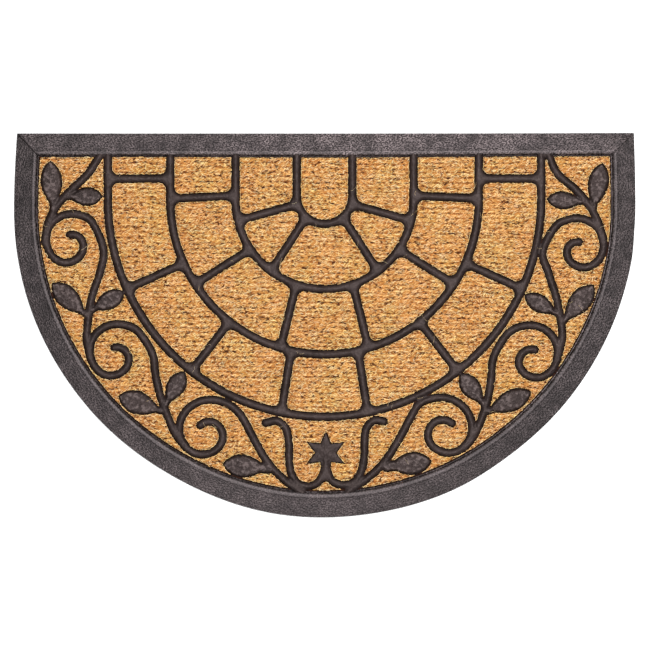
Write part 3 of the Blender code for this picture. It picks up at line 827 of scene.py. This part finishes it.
def sample(field, across, down):
    """Read a field between its grid points."""
    x = np.clip((np.asarray(across) - GRID_ACROSS[0]) / GRID_PITCH, 0, len(GRID_ACROSS) - 1.001)
    y = np.clip((np.asarray(down) - GRID_DOWN[0]) / GRID_PITCH, 0, len(GRID_DOWN) - 1.001)
    column = x.astype(int)
    row = y.astype(int)
    u = x - column
    v = y - row
    upper = field[row, column] * (1 - u) + field[row, column + 1] * u
    lower = field[row + 1, column] * (1 - u) + field[row + 1, column + 1] * u
    return upper * (1 - v) + lower * v


def field_steps(field, across, down, probe):
    """How much a field changes over a place, across and down."""
    step_across = sample(field, across + probe, down) - sample(field, across - probe, down)
    step_down = sample(field, across, down + probe) - sample(field, across, down - probe)
    return step_across, step_down


# Outlines read from a field

def chained(pairs):
    """Closed chains of what follows what."""
    onward = dict(pairs)
    chains = []
    while onward:
        first, here = onward.popitem()
        chain = [first]
        while here != first:
            chain.append(here)
            here = onward.pop(here)
        chains.append(chain)
    return chains


def contour_loops(field):
    """Closed outlines of where the field is above zero, by marching squares."""
    above = field > 0
    above_count = above[:-1, :-1] * 1 + above[:-1, 1:] + above[1:, 1:] + above[1:, :-1]
    onward = {}
    for row, column in np.argwhere((above_count > 0) & (above_count < 4)).tolist():
        corners = ((row, column), (row, column + 1), (row + 1, column + 1), (row + 1, column))
        inside = [bool(above[corner]) for corner in corners]
        for last in range(4):
            if inside[last] and not inside[(last + 1) % 4]:
                first = last
                while inside[first - 1]:
                    first -= 1
                leaving, entering = (tuple(sorted((corners[side], corners[(side + 1) % 4])))
                                     for side in (last, first - 1))
                onward[leaving] = entering
    return [np.array([edge_point(field, edge) for edge in chain]) for chain in chained(onward)]


def edge_point(field, edge):
    """Where the field crosses zero on a grid edge."""
    one, other = edge
    share = field[one] / (field[one] - field[other])
    row = one[0] + (other[0] - one[0]) * share
    column = one[1] + (other[1] - one[1]) * share
    return GRID_ACROSS[0] + column * GRID_PITCH, GRID_DOWN[0] + row * GRID_PITCH


def loop_area(loop):
    after = np.roll(loop, -1, axis=0)
    return abs(np.sum(loop[:, 0] * after[:, 1] - loop[:, 1] * after[:, 0])) / 2


def even_loop(loop, step):
    """A closed outline read again at even steps."""
    closed = np.vstack((loop, loop[:1]))
    along = run_along(closed)
    places = np.linspace(0, along[-1], max(3, round(along[-1] / step)), endpoint=False)
    return np.stack([np.interp(places, along, closed[:, axis]) for axis in (0, 1)], axis=1)


def inside_loop(across, down, loop):
    """Whether each point lies inside a closed outline."""
    odd = np.zeros(across.shape, dtype=bool)
    for (x0, y0), (x1, y1) in zip(loop, np.roll(loop, -1, axis=0)):
        if y0 != y1:
            spans = (down >= min(y0, y1)) & (down < max(y0, y1))
            meets = x0 + (down - y0) * (x1 - x0) / (y1 - y0)
            odd ^= spans & (across < meets)
    return odd


def fill_small_holes(whole):
    """Rubber where a hole would be smaller than any pad, as the mould has it."""
    for loop in contour_loops(whole):
        if loop_area(loop) <= SMALLEST_PAD:
            window = nearby(loop, 0)
            odd = inside_loop(ACROSS[window], DOWN[window], loop)
            filled = np.maximum(whole[window], WEB_REACH / 4)
            whole[window] = np.where(odd, filled, whole[window])
    return whole


def fill_points(field, depth):
    """A staggered lattice of single points wherever the field is above a depth."""
    rows = np.arange(GRID_DOWN[0], GRID_DOWN[-1], FILL_STEP * math.sqrt(3) / 2)
    columns = np.arange(GRID_ACROSS[0], GRID_ACROSS[-1] - FILL_STEP, FILL_STEP)
    across, down = np.meshgrid(columns, rows)
    across = across + (np.arange(len(rows)) % 2)[:, None] * FILL_STEP / 2
    wanted = sample(field, across, down) > depth
    return np.stack((across[wanted], down[wanted]), axis=1)


def loop_edges(loops):
    """Edges round closed loops of points that are numbered one after another."""
    edges = []
    for loop in loops:
        start = len(edges)
        edges += [(start + here, start + (here + 1) % len(loop)) for here in range(len(loop))]
    return edges


def triangulate(loops, singles):
    """Triangles over closed loops and single points: flat points and triangles."""
    points = [Vector(point) for part in (*loops, singles) for point in part.tolist()]
    result = delaunay_2d_cdt(points, loop_edges(loops), [], 0, MERGE_GAP)
    return np.array([tuple(point) for point in result[0]], dtype=float), np.array(result[2])


def between_chains(flat, chains):
    """Triangles that an odd number of closed chains holds, and the points with any new ones."""
    order = [index for chain in chains for index in chain]
    points = [Vector(flat[index]) for index in order]
    result = delaunay_2d_cdt(points, loop_edges(chains), [], 0, MERGE_GAP)
    sources = []
    added = []
    for point, found in zip(result[0], result[3]):
        if found:
            sources.append(order[found[0]])
        else:
            sources.append(len(flat) + len(added))
            added.append(tuple(point))
    flat = np.concatenate((flat, np.array(added).reshape(-1, 2)))
    faces = np.array([[sources[corner] for corner in face] for face in result[2]])
    middles = flat[faces].mean(axis=1)
    odd = np.zeros(len(faces), dtype=bool)
    for chain in chains:
        odd ^= inside_loop(*middles.T, flat[chain])
    return faces[odd], flat


def rim_of(faces):
    """Edges round an area of faces, each in its face's own direction."""
    directed = {(face[i], face[(i + 1) % len(face)]) for face in faces for i in range(len(face))}
    return [edge for edge in directed if (edge[1], edge[0]) not in directed]


def walls(rim, below):
    """Squares from a rim down to the points below it."""
    return [(after, here, below[here], below[after]) for here, after in rim]


def upright(points, faces):
    """Faces turned so that they face up."""
    a, b, c = (points[faces[:, corner]] for corner in range(3))
    turned = np.cross(b - a, c - a)[:, 2] < 0
    faces = faces.copy()
    faces[turned] = faces[turned][:, ::-1]
    return faces.tolist()


# The tracery

def rib_height(inside):
    """Round crown of a rib by how far inside its edge a point lies."""
    return RIB_SHOULDER + (RIB_CROWN - RIB_SHOULDER) * dome(inside / RIB_HALF)


def leaf_height(inside, across, down):
    """A leaf's low dome, uneven as hand-cut moulds are, with a faint midrib."""
    height = LEAF_EDGE + (LEAF_CROWN - RIB_CROWN) * dome(inside / LEAF_HALF)
    lumps = soft_noise(across, down, LEAF_LUMP_SPACING, "lump")
    lumps = lumps + soft_noise(across, down, LEAF_LUMP_SPACING / 2, "fine lump")
    height = height + LEAF_LUMP * lumps * ease(inside / LEAF_MARK)
    start, end = MIDRIB_SHARES
    for leaf in LEAVES:
        base, tip = leaf_axis(leaf)
        way = tip - base
        length = np.linalg.norm(way)
        x = across - TRACERY_ASIDE - base[0]
        y = down - base[1]
        along = (x * way[0] + y * way[1]) / length ** 2
        off = np.abs(x * way[1] - y * way[0]) / length
        rise = MIDRIB_RISE * np.exp(-(off / MIDRIB_WIDTH) ** 2)
        rise = rise * np.clip((end - along) * MIDRIB_FADE, 0, 1)
        height = height + np.where((along > start) & (along < end) & (inside > 0), rise, 0)
    return height


def tracery_height(fields, across, down):
    """Height of ribs and webs, the star's facets and the leaves, with a slight wave."""
    whole = sample(fields["whole"], across, down)
    height = rib_height(np.minimum(whole, WEB_REACH))
    for name in ("ribs", "stalk"):
        inside = sample(fields[name], across, down)
        height = np.maximum(height, np.where(inside > 0, rib_height(inside), 0))
    star = sample(fields["star"], across, down)
    height = np.maximum(height, np.where(star > 0, STAR_EDGE + STAR_SLOPE * star, 0))
    inside = sample(fields["leaves"], across, down)
    blend = ease(inside / LEAF_BLEND)
    leaf = height * (1 - blend) + leaf_height(inside, across, down) * blend
    height = np.where(inside > LEAF_START, leaf, height)
    wave = RUBBER_WAVE * soft_noise(across, down, RUBBER_WAVE_SPACING, "rubber")
    return height + wave * ease(whole / RUBBER_WAVE_BLEND)


def tracery_piece(fields, material):
    """The raised tracery, from outlines at several depths inside its edge."""
    whole = fields["whole"]
    loops = [even_loop(loop, LOOP_STEP) for level in LEVELS for loop in contour_loops(whole - level)
             if level == 0 or loop_area(loop) > LOOP_STEP ** 2]
    flat, triangles = triangulate(loops, fill_points(whole, FILL_INSIDE))
    inside = sample(whole, *flat[triangles].mean(axis=1).T)
    used, faces = np.unique(triangles[inside > 0], return_inverse=True)
    flat = flat[used]
    top = place(*flat.T, tracery_height(fields, *flat.T))
    faces = upright(top, faces.reshape(-1, 3))
    rim = rim_of(faces)
    below = {here: len(flat) + index for index, (here, after) in enumerate(rim)}
    floor = place(*flat[list(below)].T, RIB_UNDERSIDE)
    bottom, flat = between_chains(flat, chained(rim))
    bottom = [tuple(below[corner] for corner in reversed(face)) for face in upright(top, bottom)]
    faces = faces + walls(rim, below) + bottom
    piece = add_mesh("rubber_tracery", np.concatenate((top, floor)), faces, material)
    leaf = ease(sample(fields["leaves"], *flat.T) / LEAF_MARK)
    add_attribute(piece, "leaf", np.concatenate((leaf, np.zeros(len(floor)))))
    return piece


# The coir's weave

def weave_drift(across, down):
    """How far the rows wander up and down."""
    return sum(reach * soft_noise(across, down, spacing, "drift") for reach, spacing in WEAVE_DRIFTS)


def weave_height(across, down):
    """Height of the weave, from 0 between two rows to 1 along the middle of one."""
    row_share = (down + weave_drift(across, down)) / ROW_PITCH
    row_share = row_share - np.floor(row_share) - 0.5
    reach, spacing = WEAVE_UNEVEN
    uneven = 1 + reach * soft_noise(across, down, spacing, "weave")
    return np.clip(np.sqrt(np.cos(math.pi * row_share)) * uneven, 0, 1)


def pillow_height(inside):
    """A pad's height, before the weave, by how far inside its edge a point lies."""
    rim = PAD_RIM + (PAD_EDGE - PAD_RIM) * np.sqrt(np.clip(inside / PAD_ROUNDING, 0, 1))
    return rim + (PAD_CROWN - PAD_EDGE) * ease(inside / PAD_SWELL)


def without_pinches(kept):
    """The kept squares, and one more wherever two would touch at a corner only."""
    while True:
        a, b, c, d = kept[:-1, :-1], kept[:-1, 1:], kept[1:, :-1], kept[1:, 1:]
        falling = a & d & ~b & ~c
        rising = b & c & ~a & ~d
        if not (falling.any() or rising.any()):
            return kept
        kept = kept.copy()
        kept[:-1, 1:] |= falling
        kept[:-1, :-1] |= rising


def pad_squares(pads):
    """Squares drawn in to the pads' rims: flat points, how far inside they are, and squares."""
    columns = np.arange(GRID_ACROSS[0], GRID_ACROSS[-1], PAD_PITCH)
    rows = np.arange(GRID_DOWN[0], GRID_DOWN[-1], PAD_PITCH)
    across, down = np.meshgrid(columns, rows)
    inside = sample(pads, across, down)
    above = inside > 0
    kept = without_pinches(above[:-1, :-1] | above[:-1, 1:] | above[1:, 1:] | above[1:, :-1])
    slopes = [step / (2 * PAD_PROBE) for step in field_steps(pads, across, down, PAD_PROBE)]
    steep = np.maximum(slopes[0] ** 2 + slopes[1] ** 2, PAD_LEAST_SLOPE)
    short = np.minimum(inside, 0)
    flat = np.stack((across - short * slopes[0] / steep, down - short * slopes[1] / steep), axis=-1)
    index = np.arange(across.size).reshape(across.shape)
    squares = (index[:-1, :-1], index[1:, :-1], index[1:, 1:], index[:-1, 1:])
    used, squares = np.unique(np.stack(squares, axis=-1)[kept], return_inverse=True)
    reach = np.clip(inside.ravel()[used], 0, None)
    return flat.reshape(-1, 2)[used], reach, squares.reshape(-1, 4).tolist()


def coir_piece(pads, material):
    """The woven panel: a closed pad in each cell of the tracery, on one flat sheet."""
    flat, reach, squares = pad_squares(pads)
    woven = weave_height(*flat.T)
    height = pillow_height(reach) + WEAVE_DEPTH * (woven - 1) * ease(reach / WEAVE_BLEND)
    top = place(*flat.T, height)
    rim = rim_of(squares)
    ordered = sorted({here for here, after in rim})
    groove = {here: len(top) + number for number, here in enumerate(ordered)}
    sheet = outline(COIR_INSET)
    flat = np.concatenate((flat, flat[ordered], sheet))
    edge = list(range(len(flat) - len(sheet), len(flat)))
    chains = [[groove[here] for here in chain] for chain in chained(rim)]
    floor, flat = between_chains(flat, chains + [edge])
    under = list(range(len(flat), len(flat) + len(sheet)))
    level = place(*flat[len(top):].T, GROOVE_FLOOR)
    points = np.concatenate((top, level, place(*sheet.T, COIR_UNDERSIDE)))
    faces = squares + walls(rim, groove) + upright(points, floor) + band(under, edge) + [under[::-1]]
    piece = add_mesh("coir_panel_weave", points, faces, material)
    # Depth carries painted shade: dark between rows, at the pads' edges, walls and floor
    depth = np.zeros(len(points))
    depth[:len(top)] = woven * ease(reach / WEAVE_SHADE_BLEND)
    add_attribute(piece, "depth", depth)
    # Near-black ground: painted shade where it shows between strands
    add_attribute(piece, "tone", np.full(len(points), GROUND_SHADE_TONE))
    return piece


def unit(vectors):
    return vectors / np.linalg.norm(vectors, axis=2, keepdims=True)


def strand_mesh(name, paths, radii, tones, shade_depths, material):
    """Three-sided strands with pointed ends along their paths, joined in one mesh."""
    count, length = paths.shape[:2]
    along = unit(np.gradient(paths, axis=1))
    sideways = unit(np.cross(along, (0, 0, 1)))
    upwards = np.cross(sideways, along)
    turns = np.radians((90, 210, 330))[:, None]
    middle = slice(1, length - 1)
    radii = radii[:, middle, None, None]
    rings = (paths[:, middle, None] + radii * np.cos(turns) * sideways[:, middle, None]
             + radii * np.sin(turns) * upwards[:, middle, None])
    points = np.concatenate((rings.reshape(count, -1, 3), paths[:, :1], paths[:, -1:]), axis=1)
    each = points.shape[1]
    first_tip, last_tip, last_ring = each - 2, each - 1, each - 5
    ends = []
    sides = []
    for side, after in ((0, 1), (1, 2), (2, 0)):
        ends += [(first_tip, after, side), (last_tip, last_ring + side, last_ring + after)]
        sides += [(ring + side, ring + after, ring + 3 + after, ring + 3 + side)
                  for ring in range(0, last_ring, 3)]
    starts = (np.arange(count) * each)[:, None, None]
    faces = []
    for pattern in (ends, sides):
        faces += (np.array(pattern)[None] + starts).reshape(-1, len(pattern[0])).tolist()
    piece = add_mesh(name, points.reshape(-1, 3), faces, material)
    add_attribute(piece, "tone", np.repeat(tones, each))
    # Depth carries painted shade: darker towards the tips and the lanes' edges
    depth = (np.repeat(shade_depths[:, middle], 3, axis=1), shade_depths[:, :1], shade_depths[:, -1:])
    add_attribute(piece, "depth", np.concatenate(depth, axis=1).ravel())
    return piece


def edge_angle(pads, across, down):
    """The turn at which the nearest edge of a pad runs."""
    return np.arctan2(*field_steps(pads, across, down, EDGE_PROBE))


def pokes_out(pads, across, down, angle, length):
    """Whether either end of a straight strand lies beyond its pad's edge."""
    run, rise = length / 2 * np.cos(angle), length / 2 * np.sin(angle)
    first = sample(pads, across - run, down + rise)
    last = sample(pads, across + run, down - rise)
    return np.minimum(first, last) < -STRAND_FRAY


def strand_paths(pads, across, down, lateral, angle, length, lift, bend):
    """Paths that arch over the pads, with their painted shade and what is needed to choose them."""
    shares = np.array((STRAND_SHARES,))
    length = np.where(pokes_out(pads, across, down, angle, length), CUT_SHARE * length, length)
    narrow = pokes_out(pads, across, down, angle, length)
    angle = np.where(narrow, edge_angle(pads, across, down), angle)
    run = length[:, None] * shares
    swing = (bend * length)[:, None] * (shares ** 2 * 4 - 0.5)
    cos, sin = np.cos(angle)[:, None], np.sin(angle)[:, None]
    path_across = across[:, None] + run * cos + swing * sin
    path_down = down[:, None] - run * sin + swing * cos
    inside = sample(pads, path_across, path_down)
    wanted = (sample(pads, across, down) > 0) & (inside.min(axis=1) > -2 * STRAND_FRAY)
    arch = 1 - (2 * shares) ** 2
    crown = np.cos(math.pi * lateral)[:, None]
    rise = STRAND_RISE * crown * arch - STRAND_SINK * (1 - arch)
    height = pillow_height(np.clip(inside, STRAND_LEAST_INSIDE, None)) + rise + lift[:, None]
    # Painted shade: darker where strands dip at their tips and at their lane's edges
    shade_depths = TIP_SHADE + (1 - TIP_SHADE) * np.clip(arch, 0, 1)
    shade_depths = shade_depths * np.clip(LANE_SHADE + (1 - LANE_SHADE) * crown, 0, 1)
    return place(path_across, path_down, height), arch, shade_depths, wanted


def scattered(rng, count):
    """Places anywhere on the grid: across and down."""
    return [rng.uniform(grid[0], grid[-1], count) for grid in (GRID_ACROSS, GRID_DOWN)]


def drawn(rng, kind, count):
    """Turns, lengths and radii of strands of one kind."""
    turn, turn_spread, length, length_spread, radius, thinnest, thickest = STRANDS[kind]
    return (np.radians(rng.normal(turn, turn_spread, count)),
            length * np.exp(rng.normal(0, length_spread, count)),
            radius * rng.uniform(thinnest, thickest, count))


# Each kind of strands comes as across, down, place between its row's edges, turn, length, radius,
# tone and lift

def row_strands(rng):
    rows = np.arange(math.floor(GRID_DOWN[0] / ROW_PITCH), math.ceil(GRID_DOWN[-1] / ROW_PITCH))
    columns = np.arange(GRID_ACROSS[0], GRID_ACROSS[-1], STRAND_STEP)
    grids = np.meshgrid(rows, columns, np.arange(LANES), indexing="ij")
    row, column, lane = (grid.ravel() for grid in grids)
    count = len(row)
    across = column + STRAND_STEP * rng.uniform(-STEP_UNEVEN, STEP_UNEVEN, count)
    lateral = (lane + 0.5) / LANES - 0.5 + rng.uniform(-LANE_UNEVEN, LANE_UNEVEN, count)
    down = (row + 0.5 + lateral) * ROW_PITCH
    down = down - weave_drift(across, down)
    angle, length, radius = drawn(rng, "row", count)
    angle = np.radians(ROW_TWISTS[row % len(ROW_TWISTS)]) + angle
    reach, spacing = ROW_TONE_PATCHES
    tone = ROW_TONE + reach * soft_noise(across, down, spacing, "tone")
    tone = tone + rng.normal(0, ROW_TONE_SPREAD, count)
    return across, down, lateral, angle, length, radius, tone, rng.normal(0, STRAND_UNEVEN, count)


def loose_strands(rng):
    count = LOOSE_COUNT
    return (*scattered(rng, count), np.zeros(count), *drawn(rng, "loose", count),
            rng.uniform(*LOOSE_TONES, count), rng.uniform(*LOOSE_LIFTS, count))


def rim_strands(rng, pads):
    places = [even_loop(loop, RIM_STEP) for loop in contour_loops(pads - RIM_INSIDE)]
    across, down = np.concatenate(places).T
    edge = edge_angle(pads, across, down)
    count = len(across)
    angle, length, radius = drawn(rng, "rim", count)
    return (across + RIM_SHIFT * np.sin(edge), down + RIM_SHIFT * np.cos(edge), np.zeros(count),
            edge + angle, length, radius, rng.normal(*RIM_TONE, count), rng.uniform(*RIM_LIFTS, count))


def strand_pieces(pads, material):
    """The coir strands of all kinds, in one piece for each stretch of the mat."""
    rng = np.random.default_rng(SEEDS["strand"])
    kinds = (row_strands(rng), loose_strands(rng), rim_strands(rng, pads))
    columns = [np.concatenate(column) for column in zip(*kinds)]
    across, down, lateral, angle, length, radius, tone, lift = columns
    bend = rng.normal(0, STRAND_BEND, len(across))
    paths, arch, shade_depths, wanted = strand_paths(pads, across, down, lateral, angle, length, lift, bend)
    radii = radius[:, None] * (STRAND_TIP + (1 - STRAND_TIP) * np.sqrt(np.clip(arch, 0, 1)))
    tone = np.clip(tone, 0, 1)
    pieces = []
    for name, low, high in STRETCHES:
        here = wanted & (across >= low) & (across < high)
        pieces.append(strand_mesh(name, paths[here], radii[here], tone[here], shade_depths[here], material))
    return pieces


def hair_piece(fields, pads, material):
    """Loose pale hairs that lie over pads and ribs alike."""
    rng = np.random.default_rng(SEEDS["hair"])
    inner = coir_field()
    across, down = scattered(rng, HAIR_COUNT * 2)
    kept = np.flatnonzero(sample(inner, across, down) > HAIR_INSIDE)[:HAIR_COUNT]
    count = len(kept)
    length = HAIR_LENGTH * rng.uniform(*HAIR_LENGTHS, count)
    start_turn = rng.uniform(0, 2 * math.pi, count)
    curl = rng.normal(0, HAIR_CURL, count)
    turn = start_turn[:, None] + curl[:, None] * np.linspace(-0.5, 0.5, HAIR_POINTS)
    step = (length / (HAIR_POINTS - 1))[:, None]
    across = across[kept, None] + np.cumsum(np.cos(turn), axis=1) * step
    down = down[kept, None] + np.cumsum(np.sin(turn), axis=1) * step
    wanted = sample(inner, across, down).min(axis=1) > HAIR_END_INSIDE
    across, down = across[wanted], down[wanted]
    height = pillow_height(np.clip(sample(pads, across, down), 0, None)) + STRAND_RISE + HAIR_RADIUS
    over = sample(fields["whole"], across, down) > HAIR_OVER_RIB
    rib = tracery_height(fields, across, down) + HAIR_RADIUS * 2
    height = np.where(over, np.maximum(rib, height), height)
    height[:, 1:-1] = (height[:, :-2] + 2 * height[:, 1:-1] + height[:, 2:]) / 4
    paths = place(across, down, height)
    radii = np.full(paths.shape[:2], HAIR_RADIUS)
    tones = rng.uniform(*HAIR_TONES, len(paths))
    return strand_mesh("coir_stray_hairs", paths, radii, tones, np.ones(radii.shape), material)


# Materials

class Shader:
    """A material in the making. Each method adds one node and gives its output."""

    def __init__(self, name):
        self.material = bpy.data.materials.new(name)
        self.material.use_nodes = True
        self.tree = self.material.node_tree
        self.where = self.node("TexCoord", "Object")

    def fill(self, node, inputs):
        """Set a node's inputs to plain values, or link them to other nodes' outputs."""
        for name, value in inputs.items():
            if isinstance(value, bpy.types.NodeSocket):
                self.tree.links.new(value, node.inputs[name])
            else:
                node.inputs[name].default_value = value

    def node(self, kind, output, inputs=None, **settings):
        node = self.tree.nodes.new("ShaderNode" + kind)
        for name, value in settings.items():
            setattr(node, name, value)
        self.fill(node, inputs or {})
        return node.outputs[output]

    def attribute(self, name):
        return self.node("Attribute", "Fac", attribute_name=name)

    def noise(self, where, scale, detail):
        return self.node("TexNoise", "Fac", {"Vector": where, "Scale": scale, "Detail": detail})

    def math(self, operation, first, second):
        return self.node("Math", "Value", {0: first, 1: second}, operation=operation)

    def map(self, value, low, high, to_low, to_high):
        return self.node("MapRange", "Result", {"Value": value, "From Min": low, "From Max": high,
                                                "To Min": to_low, "To Max": to_high})

    def mix(self, blend, factor, first, second):
        """Blend two colours, whose sockets share their names with others and go by number."""
        return self.node("Mix", 2, {0: factor, 6: first, 7: second}, data_type="RGBA",
                         blend_type=blend)

    def bump(self, height, distance, normal=None):
        inputs = {"Height": height, "Distance": distance, "Strength": 1.0}
        if normal is not None:
            inputs["Normal"] = normal
        return self.node("Bump", "Normal", inputs)

    def ramp(self, value, stops):
        colour = self.node("ValToRGB", "Color", {"Fac": value})
        elements = colour.node.color_ramp.elements
        while len(elements) < len(stops):
            elements.new(0.5)
        for element, (position, stop) in zip(elements, stops):
            element.position = position
            element.color = (*stop, 1)
        return colour

    def finished(self, inputs):
        self.fill(self.tree.nodes["Principled BSDF"], inputs)
        return self.material


def coir_material():
    """Coconut fibre: brown to straw by strand, flecked, and darker in the gaps as painted shade."""
    shader = Shader("coir")
    depth = shader.attribute("depth")
    colour = shader.ramp(shader.attribute("tone"), COIR_TONES)
    tint = shader.ramp(shader.noise(shader.where, *COIR_PATCHES), COIR_TINTS)
    stretched = shader.node("Mapping", "Vector", {"Vector": shader.where, "Scale": FLECK_STRETCH})
    fleck = shader.noise(stretched, *COIR_FLECK)
    # Depth is painted shade: it darkens the flecks and the colour in the gaps
    flecks = shader.ramp(shader.math("ADD", fleck, shader.map(depth, *FLECK_SHADE_BY_DEPTH)), COIR_FLECKS)
    for layer in (tint, flecks, shader.ramp(depth, COIR_GAP_SHADE)):
        colour = shader.mix("MULTIPLY", 1.0, colour, layer)
    return shader.finished({
        "Base Color": colour,
        "Roughness": 0.85,
        "Specular IOR Level": 0.25,
        "Normal": shader.bump(fleck, COIR_BUMP),
    })


def rubber_material():
    """The tracery's rubber: nearly black with an uneven shine, mottled and pitted on leaves."""
    shader = Shader("rubber_smooth")
    where = shader.where
    leaf = shader.attribute("leaf")
    base = shader.ramp(shader.noise(where, *RUBBER_CLOUD), RUBBER_TONES)
    pale_mottle = shader.ramp(shader.noise(where, *LEAF_MOTTLE), LEAF_TONES)
    sheen = shader.noise(where, *RUBBER_SHEEN)
    uneven = shader.bump(shader.noise(where, *RUBBER_UNEVEN), RUBBER_BUMP)
    pits = shader.math("MULTIPLY", shader.noise(where, *LEAF_PITS), leaf)
    return shader.finished({
        "Base Color": shader.mix("ADD", leaf, base, pale_mottle),
        "Roughness": shader.map(sheen, *SHEEN_ROUGHNESS),
        "Specular IOR Level": 0.38,
        "Specular Tint": RUBBER_SHINE,
        "Normal": shader.bump(pits, LEAF_BUMP, uneven),
    })


def border_material():
    """The border's rubber: a pebble grain in two tones, smoother on the lip, with painted light."""
    shader = Shader("rubber_pebbled")
    laid = shader.node("CombineXYZ", "Vector", {
        "X": shader.math("MULTIPLY", shader.attribute("run"), GRAIN_ALONG),
        "Y": shader.math("MULTIPLY", shader.attribute("inset"), GRAIN_ACROSS),
    })
    grain = shader.node("TexVoronoi", "Distance", {"Vector": laid, "Scale": 1.0},
                        feature="SMOOTH_F1")
    lip = shader.attribute("lip")
    pebble = shader.map(grain, *PEBBLE_HEIGHT)
    height = shader.math("MULTIPLY", pebble, shader.map(lip, *LIP_SMOOTHNESS))
    contrast = shader.attribute("contrast")
    # Paleness is painted light and shade: it scales the colour and the shine of each stretch
    painted_light = shader.attribute("painted_light")
    patches = shader.map(shader.noise(shader.where, *BORDER_PATCHES), *PATCH_PALENESS)
    colour = shader.ramp(shader.noise(laid, *BORDER_GRAIN), BORDER_TONES)
    colour = shader.mix("MIX", contrast, BORDER_TONE, colour)
    colour = shader.mix("MULTIPLY", contrast, colour, patches)
    return shader.finished({
        "Base Color": shader.mix("MULTIPLY", 1.0, colour, painted_light),
        "Roughness": shader.map(lip, *LIP_ROUGHNESS),
        "Specular IOR Level": shader.map(painted_light, *SHINE_BY_PAINTED_LIGHT),
        "Specular Tint": BORDER_SHINE,
        "Normal": shader.bump(height, BORDER_BUMP),
    })


# Stage, light and camera

def stage():
    """A pale floor, and two soft lights above: a key towards the straight edge, and a fill."""
    half = FLOOR_SIZE / 2
    corners = ((-half, -half, 0), (half, -half, 0), (half, half, 0), (-half, half, 0))
    material = Shader("floor").finished({"Base Color": FLOOR_COLOUR, "Roughness": 0.9})
    floor = add_mesh("floor", corners, [(0, 1, 2, 3)], material)
    floor.location.z = -FLOOR_GAP
    for name, place_at, size, power in LIGHTS:
        light = bpy.data.lights.new(name, "AREA")
        light.shape = "SQUARE"
        light.size = size
        light.energy = power
        lamp = add_object(name, light)
        lamp.location = place_at
        lamp.rotation_euler = (-Vector(place_at)).to_track_quat("-Z", "Y").to_euler()
    world = bpy.data.worlds.new("studio")
    world.use_nodes = True
    background = world.node_tree.nodes["Background"].inputs
    background["Color"].default_value = (1, 1, 1, 1)
    background["Strength"].default_value = WORLD_STRENGTH
    bpy.context.scene.world = world
    bpy.context.scene.view_settings.view_transform = "Standard"


def camera():
    """Straight above, at the photograph's scale and place."""
    data = bpy.data.cameras.new("camera")
    data.sensor_width = SENSOR_WIDTH
    data.lens = SENSOR_WIDTH * CAMERA_HEIGHT / (PHOTO_PIXELS * PIXEL_SIZE)
    data.clip_end = CAMERA_REACH
    across = (PHOTO_PIXELS / 2 - CENTRELINE_PIXEL) * PIXEL_SIZE
    down = (PHOTO_PIXELS / 2 - STRAIGHT_EDGE_PIXEL) * PIXEL_SIZE
    seen = add_object("camera", data)
    seen.location = (across, MAT_DEPTH / 2 - down, CAMERA_HEIGHT)
    bpy.context.scene.camera = seen


def main():
    camera()
    stage()
    fields = tracery_fields()
    pads = np.minimum(coir_field(), -fields["whole"] - SIDE_CLEAR)
    coir = coir_material()
    border = border_piece(border_material())
    tracery = tracery_piece(fields, rubber_material())
    panel = coir_piece(pads, coir)
    strands = strand_pieces(pads, coir) + [hair_piece(fields, pads, coir)]
    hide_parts("rubber_moulding")
    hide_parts("rubber_moulding")
    for piece in (border, tracery):
        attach(piece, "root")
    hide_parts("coir_panel")
    for piece in [panel] + strands:
        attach(piece, "root")


main()
